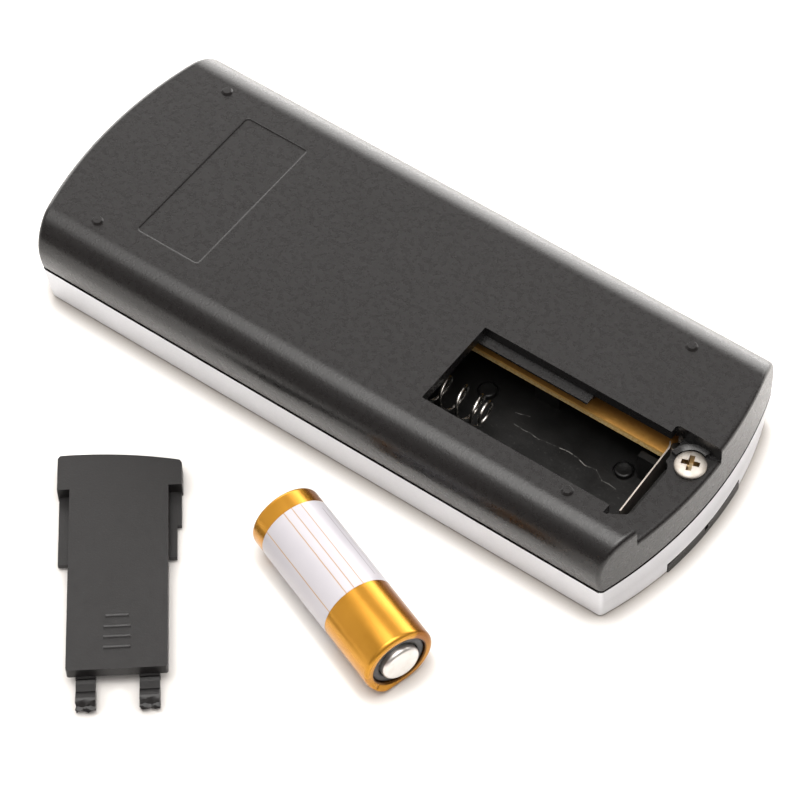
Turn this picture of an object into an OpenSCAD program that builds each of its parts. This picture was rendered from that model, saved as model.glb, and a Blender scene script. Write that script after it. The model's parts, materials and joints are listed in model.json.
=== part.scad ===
// Pocket radio trigger: a two-part case with the battery compartment open.
// The case lies on its key face with the back up. The battery and the
// compartment door lie beside it. Millimetres, +Z up, Z = 0 is the surface
// that the key face rests on, +X points to the battery end of the case.

/* [Layout] */
// Where the battery and the door are
layout = "open"; // [open, closed]

/* [Case] */
// Overall length over the two bowed ends
case_len = 100.4; // [100.0:0.1:101.0]
// Width at the joint line
case_w = 39.9; // [39.7:0.1:40.3]
// Height of the case from key face to back
case_h = 15.47; // [15.45:0.01:15.6]
// Bow of each end in plan
end_bow = 3.3; // [3.1:0.1:3.5]
// Height of the joint line above the key face
joint_z = 6.9; // [6.8:0.05:7.0]
// Width of the groove at the joint line
joint_gap = 0.3; // [0.2:0.05:0.35]
// Wall thickness of both case halves
wall = 1.65; // [1.55:0.05:1.7]
// Radius of the long rounded edges of the back
edge_r = 5; // [4.8:0.1:5.2]
// Inward lean of the silver side walls
side_lean = 0.62; // [0.4:0.02:0.7]

/* [Battery compartment] */
// Left edge of the compartment opening
bay_x0 = 13.4; // [13.2:0.1:13.6]
// Right edge of the opening, at the shoulders
bay_x1 = 43.2; // [43.0:0.1:43.3]
// Near edge of the opening
bay_y0 = -12.95; // [-13.1:0.05:-12.8]
// Far edge of the opening
bay_y1 = 1.22; // [1.2:0.02:1.3]
// Level of the shelf that carries the door head
shelf_z = 12.9; // [12.85:0.05:12.95]
// Depth of the bare label recess
recess_depth = 0.25; // [0.1:0.05:0.4]

/* [Keys] */
// Diameter of the round trigger key
trigger_d = 13; // [12:0.5:13.5]
// Length of the four small keys
key_l = 8; // [7.4:0.2:8.2]
// Width of the four small keys
key_w = 5.4; // [5:0.2:5.6]
// Depth of the keys below the key face
key_sink = 0.2; // [0.1:0.05:0.4]

/* [Battery] */
// Battery diameter
cell_d = 10.3; // [10.2:0.05:10.3]
// Length of the battery without its raised contact
cell_l = 27.66; // [27.4:0.02:27.8]

/* [Door] */
// Width of the door plate
door_w = 13.2; // [13.0:0.1:13.4]
// Length of the door plate up to its head
door_l = 29.25; // [29.0:0.05:29.3]

/* [Hidden] */
$fn = 96;
end_r = (case_w*case_w/4 + end_bow*end_bow)/(2*end_bow);  // plan radius of the bowed ends
end_c = case_len/2 - end_r;               // centre of the +X end arc
cover_z = joint_z + joint_gap/2;          // lowest edge of the rear cover wall
shell_z = joint_z - joint_gap/2;          // top edge of the front shell
round_z = case_h - edge_r;                // where the long edges start to round
side_y = case_w/2 + 0.5;                  // widest point of the rear cover
round_y = side_y - edge_r;
side_r = 12.75;                           // slight barrel of the cover side
face_z0 = 1.2;                            // underside of the front skin
face_z1 = 3;                              // inside of the front skin
pcb_z = 8; pcb_t = 1.2; pcb_top = pcb_z + pcb_t;
ceiling = case_h - wall;
pcb_edge = 1.65;                          // board edge beside the battery
bay_cy = (bay_y0 + bay_y1)/2;
cell_y = -5.8; cell_z = 8.4;              // battery axis when it is in the case
key_top = 3.7;                            // top of a key's flange
plunger_r = 1.7;
trigger_at = [-29, 0];
small_at = [[-13, 7.6], [-13, -7.6], [-1, 7.6], [-1, -7.6]];
posts_at = [[-37.5, 12], [-37.5, -12], [30, 12.2]];
screw_at = [47.3, -0.4];
led_x = -42.2;
black = [0.13, 0.13, 0.135];

// ---- outlines ----
// Plan outline of the case, moved in by o
module plan(o = 0, w = case_w/2) {
  intersection() {
    translate([end_c, 0]) circle(r = end_r - o, $fn = 256);
    translate([-end_c, 0]) circle(r = end_r - o, $fn = 256);
    square([case_len, 2*(w - o)], center = true);
  }
}
// Ends only, for parts whose sides are set by a cross-section
module ends(o = 0) {
  intersection() {
    translate([end_c, 0]) circle(r = end_r - o, $fn = 256);
    translate([-end_c, 0]) circle(r = end_r - o, $fn = 256);
  }
}
// Runs a cross-section in the YZ plane along the case
module along() {
  rotate([90, 0, 90]) translate([0, 0, -case_len/2 - 1]) linear_extrude(case_len + 2) children();
}
// Half of the rear cover's cross-section, moved in by o
module cover_half(o) {
  intersection() {
    translate([side_y - side_r, round_z]) circle(r = side_r - o);
    translate([0, cover_z]) square([side_y + 1, round_z - cover_z]);
  }
  translate([0, round_z]) square([round_y, edge_r - o]);
  intersection() {
    translate([round_y, round_z]) circle(r = edge_r - o);
    translate([round_y, round_z]) square([edge_r + 1, edge_r + 1]);
  }
}
module cover_sect(o = 0) {
  cover_half(o);
  mirror([1, 0]) cover_half(o);
}
// Block given by its two corners
module blk(a, b) { translate(a) cube(b - a); }
// Rounded rectangle given by its two corners
module rrect(a, b, r) {
  translate(a) {
    translate([r, 0]) square([b[0] - a[0] - 2*r, b[1] - a[1]]);
    translate([0, r]) square([b[0] - a[0], b[1] - a[1] - 2*r]);
    for (x = [r, b[0] - a[0] - r], y = [r, b[1] - a[1] - r]) translate([x, y]) circle(r = r, $fn = 48);
  }
}

// ---- rear cover ----
module cover_body() {
  difference() {
    intersection() {
      along() cover_sect(0);
      translate([0, 0, cover_z]) linear_extrude(case_h) ends(0);
    }
    intersection() {
      union() {
        along() cover_sect(wall);
        blk([-60, -case_w/2 + wall, cover_z - 1], [60, case_w/2 - wall, cover_z + 0.4]);
      }
      translate([0, 0, cover_z - 1]) linear_extrude(case_h) ends(wall);
    }
    // opening of the battery compartment
    blk([bay_x0, bay_y0, ceiling - 1], [bay_x1 + 1, bay_y1, case_h + 1]);
    // recess of the door head, open at the end wall
    blk([bay_x1, -14.35, shelf_z], [60, 2.6, case_h + 1]);
    // bare label recess
    translate([0, 0, case_h - recess_depth]) linear_extrude(2) rrect([-35.23, -12.27], [-24.75, 12.15], 0.6);
  }
}
module shelf() {
  difference() {
    intersection() {
      translate([0, 0, shelf_z - 1.6]) linear_extrude(1.6) ends(0.6);
      union() {
        blk([45.3, -15.35, 0], [60, 3.6, 20]);
        blk([42.4, -15.35, 0], [60, -11.35, 20]);
        blk([44.2, -1.6, 0], [60, 3.6, 20]);
      }
    }
    translate([screw_at[0], screw_at[1], 5]) cylinder(r = 1.25, h = 15);
  }
  // side walls of the head recess
  intersection() {
    translate([0, 0, shelf_z - 1.6]) linear_extrude(ceiling - shelf_z + 1.7) ends(0.6);
    union() {
      blk([bay_x1 + 0.02, -15.35, 0], [60, -14.35, 20]);
      blk([bay_x1 + 0.02, 2.6, 0], [60, 3.6, 20]);
    }
  }
  // half collar round the screw head
  intersection() {
    translate([screw_at[0], screw_at[1], shelf_z - 0.3]) difference() {
      cylinder(r = 3.1, h = 1.15);
      translate([0, 0, -1]) cylinder(r = 2.3, h = 4);
    }
    blk([40, screw_at[1] + 0.2, shelf_z - 1], [screw_at[0] + 1.1, 2.65, 20]);
    linear_extrude(20) ends(0.55);
  }
}
// Room for the screw and its boss inside the end wall
module screw_room() {
  translate([screw_at[0], screw_at[1], 3]) cylinder(r = 1.25, h = 15);
  intersection() {
    translate([screw_at[0], screw_at[1], 3]) cylinder(r = 2.8, h = shelf_z - 1.6 - 3);
    linear_extrude(20) ends(0.84);
  }
}
module rear_cover() color(black) {
  difference() {
    union() {
      cover_body();
      // tongue that enters the front shell
      translate([0, 0, 5.4]) linear_extrude(cover_z + 0.3 - 5.4) difference() { plan(0.85); plan(wall); }
    }
    screw_room();
  }
  shelf();
  // ledges that carry the door plate
  blk([bay_x0 - 1.2, -0.1, 12.95], [30.9, 2.4, ceiling - 0.04]);
  blk([bay_x0 - 1.2, bay_y1 + 0.02, 12.95], [30.9, 2.4, ceiling + 0.2]);
  blk([bay_x0 - 1.2, bay_y0 - 1.2, 12.95], [30.9, -12.1, ceiling - 0.04]);
  blk([bay_x0 - 1.2, bay_y0 - 1.2, 12.95], [30.9, bay_y0 - 0.02, ceiling + 0.2]);
  // small raised dots on the back
  for (p = [[-40.5, 14.28], [-40.5, -14.28], [37.6, 14.28], [37.6, -14.28]])
    translate([p[0], p[1], case_h - 0.5]) cylinder(r1 = 0.95, r2 = 0.65, h = 0.78, $fn = 40);
  // snap hooks at the far end from the screw
  for (s = [-1, 1]) {
    blk([-47.9, s*8 - 2, 4], [-46.9, s*8 + 2, ceiling + 0.3]);
    blk([-48.5, s*8 - 2, 4.2], [-47.8, s*8 + 2, 4.9]);
  }
}

// ---- front shell ----
module key_hole(i, g = 0) {
  translate(small_at[i]) rrect([-key_l/2 - g, -key_w/2 - g], [key_l/2 + g, key_w/2 + g], 1 + g);
}
module shell_block() {
  intersection() {
    along() polygon([[-case_w/2 + side_lean, 0], [case_w/2 - side_lean, 0], [case_w/2, shell_z], [-case_w/2, shell_z]]);
    linear_extrude(shell_z) ends(0);
  }
}
// Outline of the recess for the face panel
module panel_plan(o = 0) {
  intersection() {
    translate([end_c, 0]) circle(r = end_r - 2 - o, $fn = 256);
    translate([-end_c, 0]) circle(r = end_r - 3.4 - o, $fn = 256);
    square([case_len, 2*(17.3 - o)], center = true);
  }
}
module shell_fittings() {
  // bosses of the board screws
  for (p = posts_at) translate([p[0], p[1], face_z1 - 0.2]) cylinder(r = 2.2, h = pcb_z - face_z1 + 0.2);
  // boss of the case screw
  intersection() {
    translate([screw_at[0], screw_at[1], face_z1 - 0.2]) cylinder(r = 2.7, h = shelf_z - 1.6 - face_z1 + 0.2);
    linear_extrude(20) ends(0.9);
  }
  // walls of the battery compartment
  blk([7.3, -13.75, face_z1 - 0.2], [42.3, -12.75, 11.2]);
  blk([7.3, -13.75, face_z1 - 0.2], [8.5, 0.9, 12]);
  blk([42.6, -13.75, face_z1 - 0.2], [45.2, -11.45, 11.2]);
  blk([44.3, -13.75, face_z1 - 0.2], [45.2, 0.4, 11.2]);
  // guide block at the board corner
  blk([38.8, 0.1, face_z1 - 0.2], [41.8, 1.1, pcb_z]);
  blk([20, 3.2, face_z1 - 0.2], [24, 4.4, pcb_z]);
  // ejector marks on the compartment floor
  for (p = [[36.7, 0.05], [14.2, 0.4]]) translate([p[0], p[1], face_z1 - 0.2]) cylinder(r = 1.35, h = 0.35, $fn = 40);
}
module front_shell() color([0.80, 0.79, 0.78]) {
  difference() {
    shell_block();
    translate([0, 0, face_z1]) linear_extrude(10) plan(wall);
    translate([0, 0, 5.4]) linear_extrude(10) plan(0.8);
    // recess of the face panel
    translate([0, 0, -1]) linear_extrude(face_z0 + 1) panel_plan();
    // rebate under the far end
    translate([0, 0, -1]) linear_extrude(2) difference() {
      translate([-case_len/2 - 1, -30]) square([20, 60]);
      translate([-end_c, 0]) circle(r = end_r - 2, $fn = 256);
    }
    // notch in the end wall for the tab of the face panel
    blk([45, -8.5, -1], [60, 8.3, 1.85]);
    // key, lamp and hook openings
    translate([trigger_at[0], trigger_at[1], -1]) cylinder(d = trigger_d + 0.5, h = 6);
    for (i = [0:3]) translate([0, 0, -1]) linear_extrude(6) key_hole(i, 0.25);
    translate([led_x, 0, -1]) cylinder(r = 1.6, h = 6, $fn = 48);
    for (s = [-1, 1]) blk([-48.8, s*8 - 2.3, 3.9], [-47.4, s*8 + 2.3, 5.5]);
  }
  difference() {
    shell_fittings();
    for (p = posts_at) translate([p[0], p[1], face_z1 + 1]) cylinder(r = 0.82, h = 10, $fn = 40);
    translate([screw_at[0], screw_at[1], face_z1 + 1]) cylinder(r = 1.1, h = 10, $fn = 40);
  }
}

// ---- face panel ----
module face_panel() color([0.07, 0.07, 0.075]) {
  difference() {
    union() {
      linear_extrude(face_z0 - 0.02) panel_plan(0.08);
      // tab that closes the notch in the end wall
      intersection() {
        union() {
          blk([46, -8.4, 0], [60, 8.2, face_z0 - 0.02]);
          blk([48.2, -8.4, 0], [60, 8.2, 1.78]);
        }
        linear_extrude(3) difference() { ends(0.02); translate([-3, 0]) ends(1.2); }
      }
    }
    translate([trigger_at[0], trigger_at[1], -1]) cylinder(d = trigger_d + 0.5, h = 6);
    for (i = [0:3]) translate([0, 0, -1]) linear_extrude(6) key_hole(i, 0.25);
    translate([led_x, 0, -1]) cylinder(r = 1.6, h = 6, $fn = 48);
    // pry notch
    blk([49.4, -0.35, 1.1], [60, 0.35, 3]);
  }
}

// ---- keys ----
module trigger_key() color([0.62, 0.1, 0.08]) translate([trigger_at[0], trigger_at[1], 0]) {
  translate([0, 0, key_sink]) cylinder(d = trigger_d, h = 3.1 - key_sink);
  translate([0, 0, face_z1 + 0.05]) cylinder(d = trigger_d + 2.4, h = key_top - face_z1 - 0.05);
}
module small_key(i) color([0.3, 0.3, 0.31]) {
  translate([0, 0, key_sink]) linear_extrude(3.1 - key_sink) key_hole(i, 0);
  translate([0, 0, face_z1 + 0.05]) linear_extrude(key_top - face_z1 - 0.05) key_hole(i, 1.1);
}
module channel_key() small_key(0);
module group_key() small_key(1);
module plus_key() small_key(2);
module minus_key() small_key(3);
// Plunger of one tact switch
module plunger(p) color([0.2, 0.2, 0.2]) translate([p[0], p[1], key_top]) cylinder(r = plunger_r, h = 1.3, $fn = 48);
module trigger_plunger() plunger(trigger_at);
module channel_plunger() plunger(small_at[0]);
module group_plunger() plunger(small_at[1]);
module plus_plunger() plunger(small_at[2]);
module minus_plunger() plunger(small_at[3]);
// Five square switches under the board
module tact_switches() color([0.75, 0.76, 0.78])
  for (p = concat([trigger_at], small_at)) translate([p[0], p[1], 0]) {
    difference() {
      blk([-3, -3, 4.5], [3, 3, pcb_z - 0.02]);
      translate([0, 0, 4]) cylinder(r = plunger_r + 0.15, h = 1.9, $fn = 48);
    }
    for (x = [-1, 1], y = [-1, 1]) blk([x > 0 ? 2.95 : -3.5, y*2.2 - 0.35, 5], [x > 0 ? 3.5 : -2.95, y*2.2 + 0.35, pcb_z - 0.02]);
  }

// ---- circuit board and what it carries ----
module circuit_board() color([0.62, 0.47, 0.22]) translate([0, 0, pcb_z]) linear_extrude(pcb_t) difference() {
  intersection() {
    plan(2.5);
    union() {
      translate([-46.2, -17.3]) square([53.1, 34.6]);
      translate([6, pcb_edge]) square([37, 17.3 - pcb_edge]);
    }
  }
  for (p = posts_at) translate(p) circle(r = 1, $fn = 40);
}
// Small-outline chip with two rows of legs
module encoder_chip() {
  color([0.1, 0.1, 0.1]) blk([-12, -1.95, pcb_top + 0.15], [-2, 1.95, pcb_top + 1.65]);
  color("silver") for (i = [0:7], s = [-1, 1])
    blk([-11.65 + i*1.27, s > 0 ? 1.9 : -3, pcb_top + 0.02], [-11.25 + i*1.27, s > 0 ? 3 : -1.9, pcb_top + 0.32]);
}
// Round metal can of the radio resonator
module resonator_can() color([0.8, 0.8, 0.78]) translate([-32, -5.5, pcb_top + 0.02]) {
  cylinder(r = 4.6, h = 0.5);
  cylinder(r = 4.1, h = 3.3);
}
module crystal() color([0.78, 0.78, 0.76]) translate([-6, 10.5, pcb_top + 0.02]) linear_extrude(3.4) {
  square([6.6, 4.4], center = true);
  for (s = [-1, 1]) translate([s*3.3, 0]) circle(r = 2.2, $fn = 48);
}
module transistors() color([0.12, 0.12, 0.12]) for (p = [[-24, 4], [-24, 9]]) translate([p[0], p[1], pcb_top]) {
  blk([-1.45, -0.65, 0.08], [1.45, 0.65, 1.1]);
  for (x = [-0.95, 0.95]) blk([x - 0.2, -1.25, 0.02], [x + 0.2, -0.6, 0.25]);
  blk([-0.2, 0.6, 0.02], [0.2, 1.25, 0.25]);
}
module chip_resistors() color([0.16, 0.16, 0.17]) for (i = [0:7])
  blk([-19 + i*2.6, -7.6, pcb_top + 0.02], [-17 + i*2.6, -6.35, pcb_top + 0.57]);
module chip_capacitors() color([0.7, 0.6, 0.45]) for (i = [0:5])
  blk([-22 + i*3.4, -11.4, pcb_top + 0.02], [-20 + i*3.4, -10.15, pcb_top + 0.92]);
module reservoir_capacitor() color([0.82, 0.82, 0.84]) translate([-42, 5.4, pcb_top + 0.02]) {
  blk([-2.1, -2.1, 0], [2.1, 2.1, 0.6]);
  cylinder(r = 2, h = 4);
}
module trimmer() color([0.2, 0.35, 0.6]) translate([-40.5, -5.2, pcb_top + 0.02]) difference() {
  cylinder(r = 2.5, h = 1.8);
  blk([-1.6, -0.3, 1.2], [1.6, 0.3, 3]);
}
// Enamelled wire that runs along the board and is soldered at both ends
module antenna_wire() color([0.72, 0.38, 0.16]) {
  for (x = [-26, 38]) translate([x, 15.4, pcb_top + 0.02]) cylinder(r = 0.4, h = 1.6, $fn = 32);
  translate([-26, 15.4, pcb_top + 1.62]) rotate([0, 90, 0]) cylinder(r = 0.4, h = 64, $fn = 32);
  for (x = [-26, 38]) translate([x, 15.4, pcb_top + 1.62]) sphere(r = 0.4, $fn = 32);
}
module indicator_led() color([0.85, 0.25, 0.2]) translate([led_x, 0, 0]) {
  translate([0, 0, 4.7]) sphere(r = 1.45, $fn = 48);
  translate([0, 0, 4.7]) cylinder(r = 1.45, h = 2.4, $fn = 48);
  translate([0, 0, 7]) cylinder(r = 1.9, h = 0.98, $fn = 48);
}
module indicator_window() color([0.9, 0.85, 0.85, 0.6]) translate([led_x, 0, 0]) {
  translate([0, 0, 0.05]) cylinder(r = 1.5, h = 3, $fn = 48);
  translate([0, 0, 3.03]) cylinder(r = 2.1, h = 0.2, $fn = 48);
}

// ---- battery contacts ----
spring_y = -5.9; spring_zc = 7.8; spring_rm = 2.2; spring_wire = 0.24;
spring_x0 = 9.08; spring_turns = 5; spring_steps = 16; spring_phase = 200;
// Advance of the wire along the axis: one closed turn, open turns, one closing turn
function spring_x(t) = spring_x0 + 0.55*min(t, 0.8) + 2.68*max(0, min(t - 0.8, 2.95)) + max(0, t - 3.75);
function ring_pt(t, b) = let (a = spring_phase + 360*t, r = spring_rm - 0.6*max(0, t - 4) + spring_wire*cos(b))
  [spring_x(t) + spring_wire*sin(b), spring_y + r*cos(a), spring_zc + r*sin(a)];
module negative_spring() color([0.8, 0.8, 0.8]) {
  n = spring_turns*spring_steps; m = 8;
  pts = [for (i = [0:n], j = [0:m - 1]) ring_pt(i/spring_steps, 360*j/m)];
  polyhedron(pts, concat(
    [[for (j = [0:m - 1]) j]],
    [for (i = [0:n - 1], j = [0:m - 1]) let (k = (j + 1)%m) [i*m + j, (i + 1)*m + j, (i + 1)*m + k, i*m + k]],
    [[for (j = [m - 1:-1:0]) n*m + j]]), convexity = 10);
}
// Plate behind the spring with a leg up to the board
module negative_contact() color([0.75, 0.75, 0.75]) {
  blk([8.52, -9.3, 4.2], [8.82, -1.3, 12.4]);
  blk([7.2, 0.95, 9.25], [7.5, 3.4, 11.6]);
  blk([7.2, -1.6, 12.1], [8.82, -1.3, 12.4]);
  blk([7.2, -1.6, 12.1], [7.5, 3.4, 12.4]);
  blk([7.2, 1.2, 9.22], [7.5, 3.4, 12.4]);
}
// Bent strip that meets the raised end of the battery, with a foot on the board
module positive_contact() color([0.85, 0.82, 0.8]) {
  translate([0, 0, 4]) linear_extrude(8.8)
    polygon([[43.9, -11.35], [43.4, 0.6], [42.9, 1.55], [42.57, 1.42], [43.05, 0.5], [43.55, -11.35]]);
  blk([42.4, 1.1, pcb_top + 0.02], [42.95, 3.9, pcb_top + 0.4]);
}

// ---- screws ----
module cross_slot(l, w, d) for (a = [0, 90]) rotate([0, 0, a]) translate([-l/2, -w/2, 0]) cube([l, w, d]);
module case_screw() color([0.8, 0.79, 0.76]) translate([screw_at[0], screw_at[1], 0]) {
  translate([0, 0, 5]) cylinder(r = 1.08, h = shelf_z - 4.9, $fn = 40);
  difference() {
    union() {
      translate([0, 0, shelf_z]) cylinder(r = 2.15, h = 0.45);
      translate([0, 0, shelf_z + 0.45]) cylinder(r1 = 2.15, r2 = 1.5, h = 0.5);
    }
    translate([0, 0, shelf_z + 0.35]) cross_slot(2.5, 0.6, 2);
  }
}
module board_screws() color([0.75, 0.75, 0.75]) for (p = posts_at) translate([p[0], p[1], 0]) {
  translate([0, 0, 4.6]) cylinder(r = 0.8, h = pcb_top - 4.5, $fn = 40);
  difference() {
    translate([0, 0, pcb_top]) cylinder(r = 1.6, h = 1, $fn = 48);
    translate([0, 0, pcb_top + 0.5]) cross_slot(1.8, 0.4, 2);
  }
}

// ---- battery door, drawn with its outer face at Z = 0 and its hook end at X = 0 ----
door_tilt = 1.66; door_turn = 128.75; door_at = [1.61, -63.57, 3.565];
module door_place() {
  if (layout == "open") translate(door_at) rotate([0, 0, door_turn]) rotate([0, door_tilt, 0]) children();
  else translate([bay_x1 - door_l + 0.05, bay_cy, case_h - 0.02]) children();
}
module door_solid() {
  // plate
  blk([0, -door_w/2, -1.6], [door_l + 0.5, door_w/2, 0]);
  // head, its end bowed like the case
  intersection() {
    blk([door_l, -8.4, -2.55], [40, 8.28, 0]);
    translate([-end_r + door_l + 5.75, 0.7 + 5.2, -3]) cylinder(r = end_r, h = 4, $fn = 256);
  }
  // rails that run under the edges of the opening
  blk([18.1, 5.9, -2.45], [door_l + 0.2, 8.12, -1.75]);
  blk([18.5, -7.65, -2.45], [door_l + 0.2, -5.9, -1.75]);
  blk([23.7, -8.25, -2.45], [door_l + 0.2, -7.6, -1.75]);
  blk([18.1, 5.9, -1.8], [door_l + 0.2, door_w/2 - 0.02, -1.5]);
  blk([18.5, -door_w/2 + 0.02, -1.8], [door_l + 0.2, -5.9, -1.5]);
  // hooks at the inner end
  for (y = [[2.85, 5.45], [-5.45, -2.8]]) {
    blk([-0.3, y[0], -2.7], [2.5, y[1], -1.5]);
    blk([-3.9, y[0], -2.7], [0, y[1], -1.8]);
    translate([-3.7, y[0], -2.9]) rotate([-90, 0, 0]) cylinder(r = 0.7, h = y[1] - y[0], $fn = 40);
    blk([-3.2, y[0] + 0.4, -3.6], [-1.5, y[1] - 0.4, -2.6]);
  }
  // grip bars
  for (x = [3.35, 5, 6.6, 8.3]) blk([x - 0.3, -1.7, -0.1], [x + 0.3, 1.7, 0.12]);
}
module battery_door() color(black) door_place() difference() {
  door_solid();
  // room for the screw head under the door's head
  translate([33.35, 5.07, -3]) cylinder(r = 3.25, h = 1.6);
  blk([door_l - 0.1, 2.6, -3], [33.35, 7.5, -1.4]);
}

// ---- battery, drawn along X with its raised contact towards +X ----
module cell_place() {
  if (layout == "open") translate([18.33, -37.69, cell_d/2]) rotate([0, 0, -20.17]) children();
  else translate([28.6, cell_y, cell_z]) children();
}
module tube(r, ri, x0, x1) translate([x0, 0, 0]) rotate([0, 90, 0]) difference() {
  cylinder(r = r, h = x1 - x0);
  translate([0, 0, -1]) cylinder(r = ri, h = x1 - x0 + 2);
}
cell_h = cell_l/2;
module battery_jacket() color([0.80, 0.58, 0.16]) cell_place() rotate([0, 90, 0]) rotate_extrude() {
  // thin steel sleeve with both rims rolled in
  translate([cell_d/2 - 0.32, -cell_h + 0.5]) square([0.29, cell_l - 1]);
  for (s = [-1, 1]) intersection() {
    translate([cell_d/2 - 0.55, s*(cell_h - 0.52)]) difference() { circle(r = 0.52, $fn = 40); circle(r = 0.2, $fn = 32); }
    translate([cell_d/2 - 1.07, s > 0 ? cell_h - 0.53 : -cell_h]) square([1.05, 0.53]);
  }
  for (s = [-1, 1]) translate([cell_d/2 - 1.35, s > 0 ? cell_h - 0.3 : -cell_h]) square([0.85, 0.3]);
}
module battery_label() color([0.90, 0.88, 0.90]) cell_place() tube(cell_d/2, cell_d/2 - 0.025, -11.1, 4.05);
// Stack of eight button cells
module battery_cells() color([0.78, 0.78, 0.78]) cell_place()
  for (i = [0:7]) translate([-cell_h + 0.75 + i*3.22, 0, 0]) rotate([0, 90, 0]) cylinder(r = 4.4, h = 3.18);
module battery_insulator() color([0.12, 0.12, 0.13]) cell_place() tube(cell_d/2 - 1.4, 2.85, cell_h - 0.95, cell_h - 0.25);
module battery_positive_cap() color([0.85, 0.84, 0.82]) cell_place() translate([cell_h - 0.95, 0, 0]) rotate([0, 90, 0]) {
  cylinder(r = 2.75, h = 1.3);
  translate([0, 0, 1.3]) cylinder(r1 = 2.75, r2 = 2.45, h = 0.3);
}
module battery_negative_end() color([0.8, 0.8, 0.8]) cell_place() translate([-cell_h + 0.3, 0, 0]) rotate([0, 90, 0]) cylinder(r = 4.5, h = 0.4);

rear_cover();
front_shell();
face_panel();
circuit_board();
trigger_key();
channel_key();
group_key();
plus_key();
minus_key();
trigger_plunger();
channel_plunger();
group_plunger();
plus_plunger();
minus_plunger();
tact_switches();
encoder_chip();
resonator_can();
crystal();
transistors();
chip_resistors();
chip_capacitors();
reservoir_capacitor();
trimmer();
antenna_wire();
indicator_led();
indicator_window();
negative_spring();
negative_contact();
positive_contact();
case_screw();
board_screws();
battery_door();
battery_jacket();
battery_label();
battery_cells();
battery_insulator();
battery_positive_cap();
battery_negative_end();
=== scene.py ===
# Looks for the pocket radio trigger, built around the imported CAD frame.
import json
import math
import bpy
import bmesh
import numpy as np
from mathutils import Vector, Matrix

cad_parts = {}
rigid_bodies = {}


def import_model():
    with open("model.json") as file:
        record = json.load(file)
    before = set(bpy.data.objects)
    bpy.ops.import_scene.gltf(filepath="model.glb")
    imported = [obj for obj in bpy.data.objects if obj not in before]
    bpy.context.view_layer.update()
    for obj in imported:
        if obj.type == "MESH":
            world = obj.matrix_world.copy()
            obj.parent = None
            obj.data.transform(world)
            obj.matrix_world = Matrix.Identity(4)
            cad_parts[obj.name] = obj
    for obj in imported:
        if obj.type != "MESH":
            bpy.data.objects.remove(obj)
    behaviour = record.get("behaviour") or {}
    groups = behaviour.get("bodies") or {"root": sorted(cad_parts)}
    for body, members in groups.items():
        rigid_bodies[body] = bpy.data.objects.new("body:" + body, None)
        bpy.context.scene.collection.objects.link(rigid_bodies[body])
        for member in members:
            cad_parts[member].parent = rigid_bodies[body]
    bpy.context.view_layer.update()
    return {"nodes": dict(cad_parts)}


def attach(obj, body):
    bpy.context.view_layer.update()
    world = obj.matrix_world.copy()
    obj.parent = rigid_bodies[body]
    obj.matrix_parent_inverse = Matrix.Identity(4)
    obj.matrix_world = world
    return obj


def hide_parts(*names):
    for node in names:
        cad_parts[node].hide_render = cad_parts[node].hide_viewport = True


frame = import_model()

MM = 0.001
scene = bpy.context.scene
col = scene.collection


# ------------------------------------------------------------------ camera
def make_camera():
    yaw, pitch, roll = 2.2552, 0.9273, -0.0561
    c = Vector((0.19884, -0.24476, 0.41091))
    fwd = Vector((math.cos(yaw) * math.cos(pitch), math.sin(yaw) * math.cos(pitch), -math.sin(pitch)))
    right = fwd.cross(Vector((0, 0, 1))).normalized()
    up = right.cross(fwd)
    r2 = math.cos(roll) * right + math.sin(roll) * up
    u2 = -math.sin(roll) * right + math.cos(roll) * up
    cam = bpy.data.cameras.new("cam")
    cam.sensor_width = 36.0
    cam.lens = 170.02
    cam.clip_start = 0.01
    cam.clip_end = 20
    ob = bpy.data.objects.new("cam", cam)
    m = Matrix((r2, u2, -fwd)).transposed().to_4x4()
    m.translation = c
    ob.matrix_world = m
    col.objects.link(ob)
    scene.camera = ob


make_camera()


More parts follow.
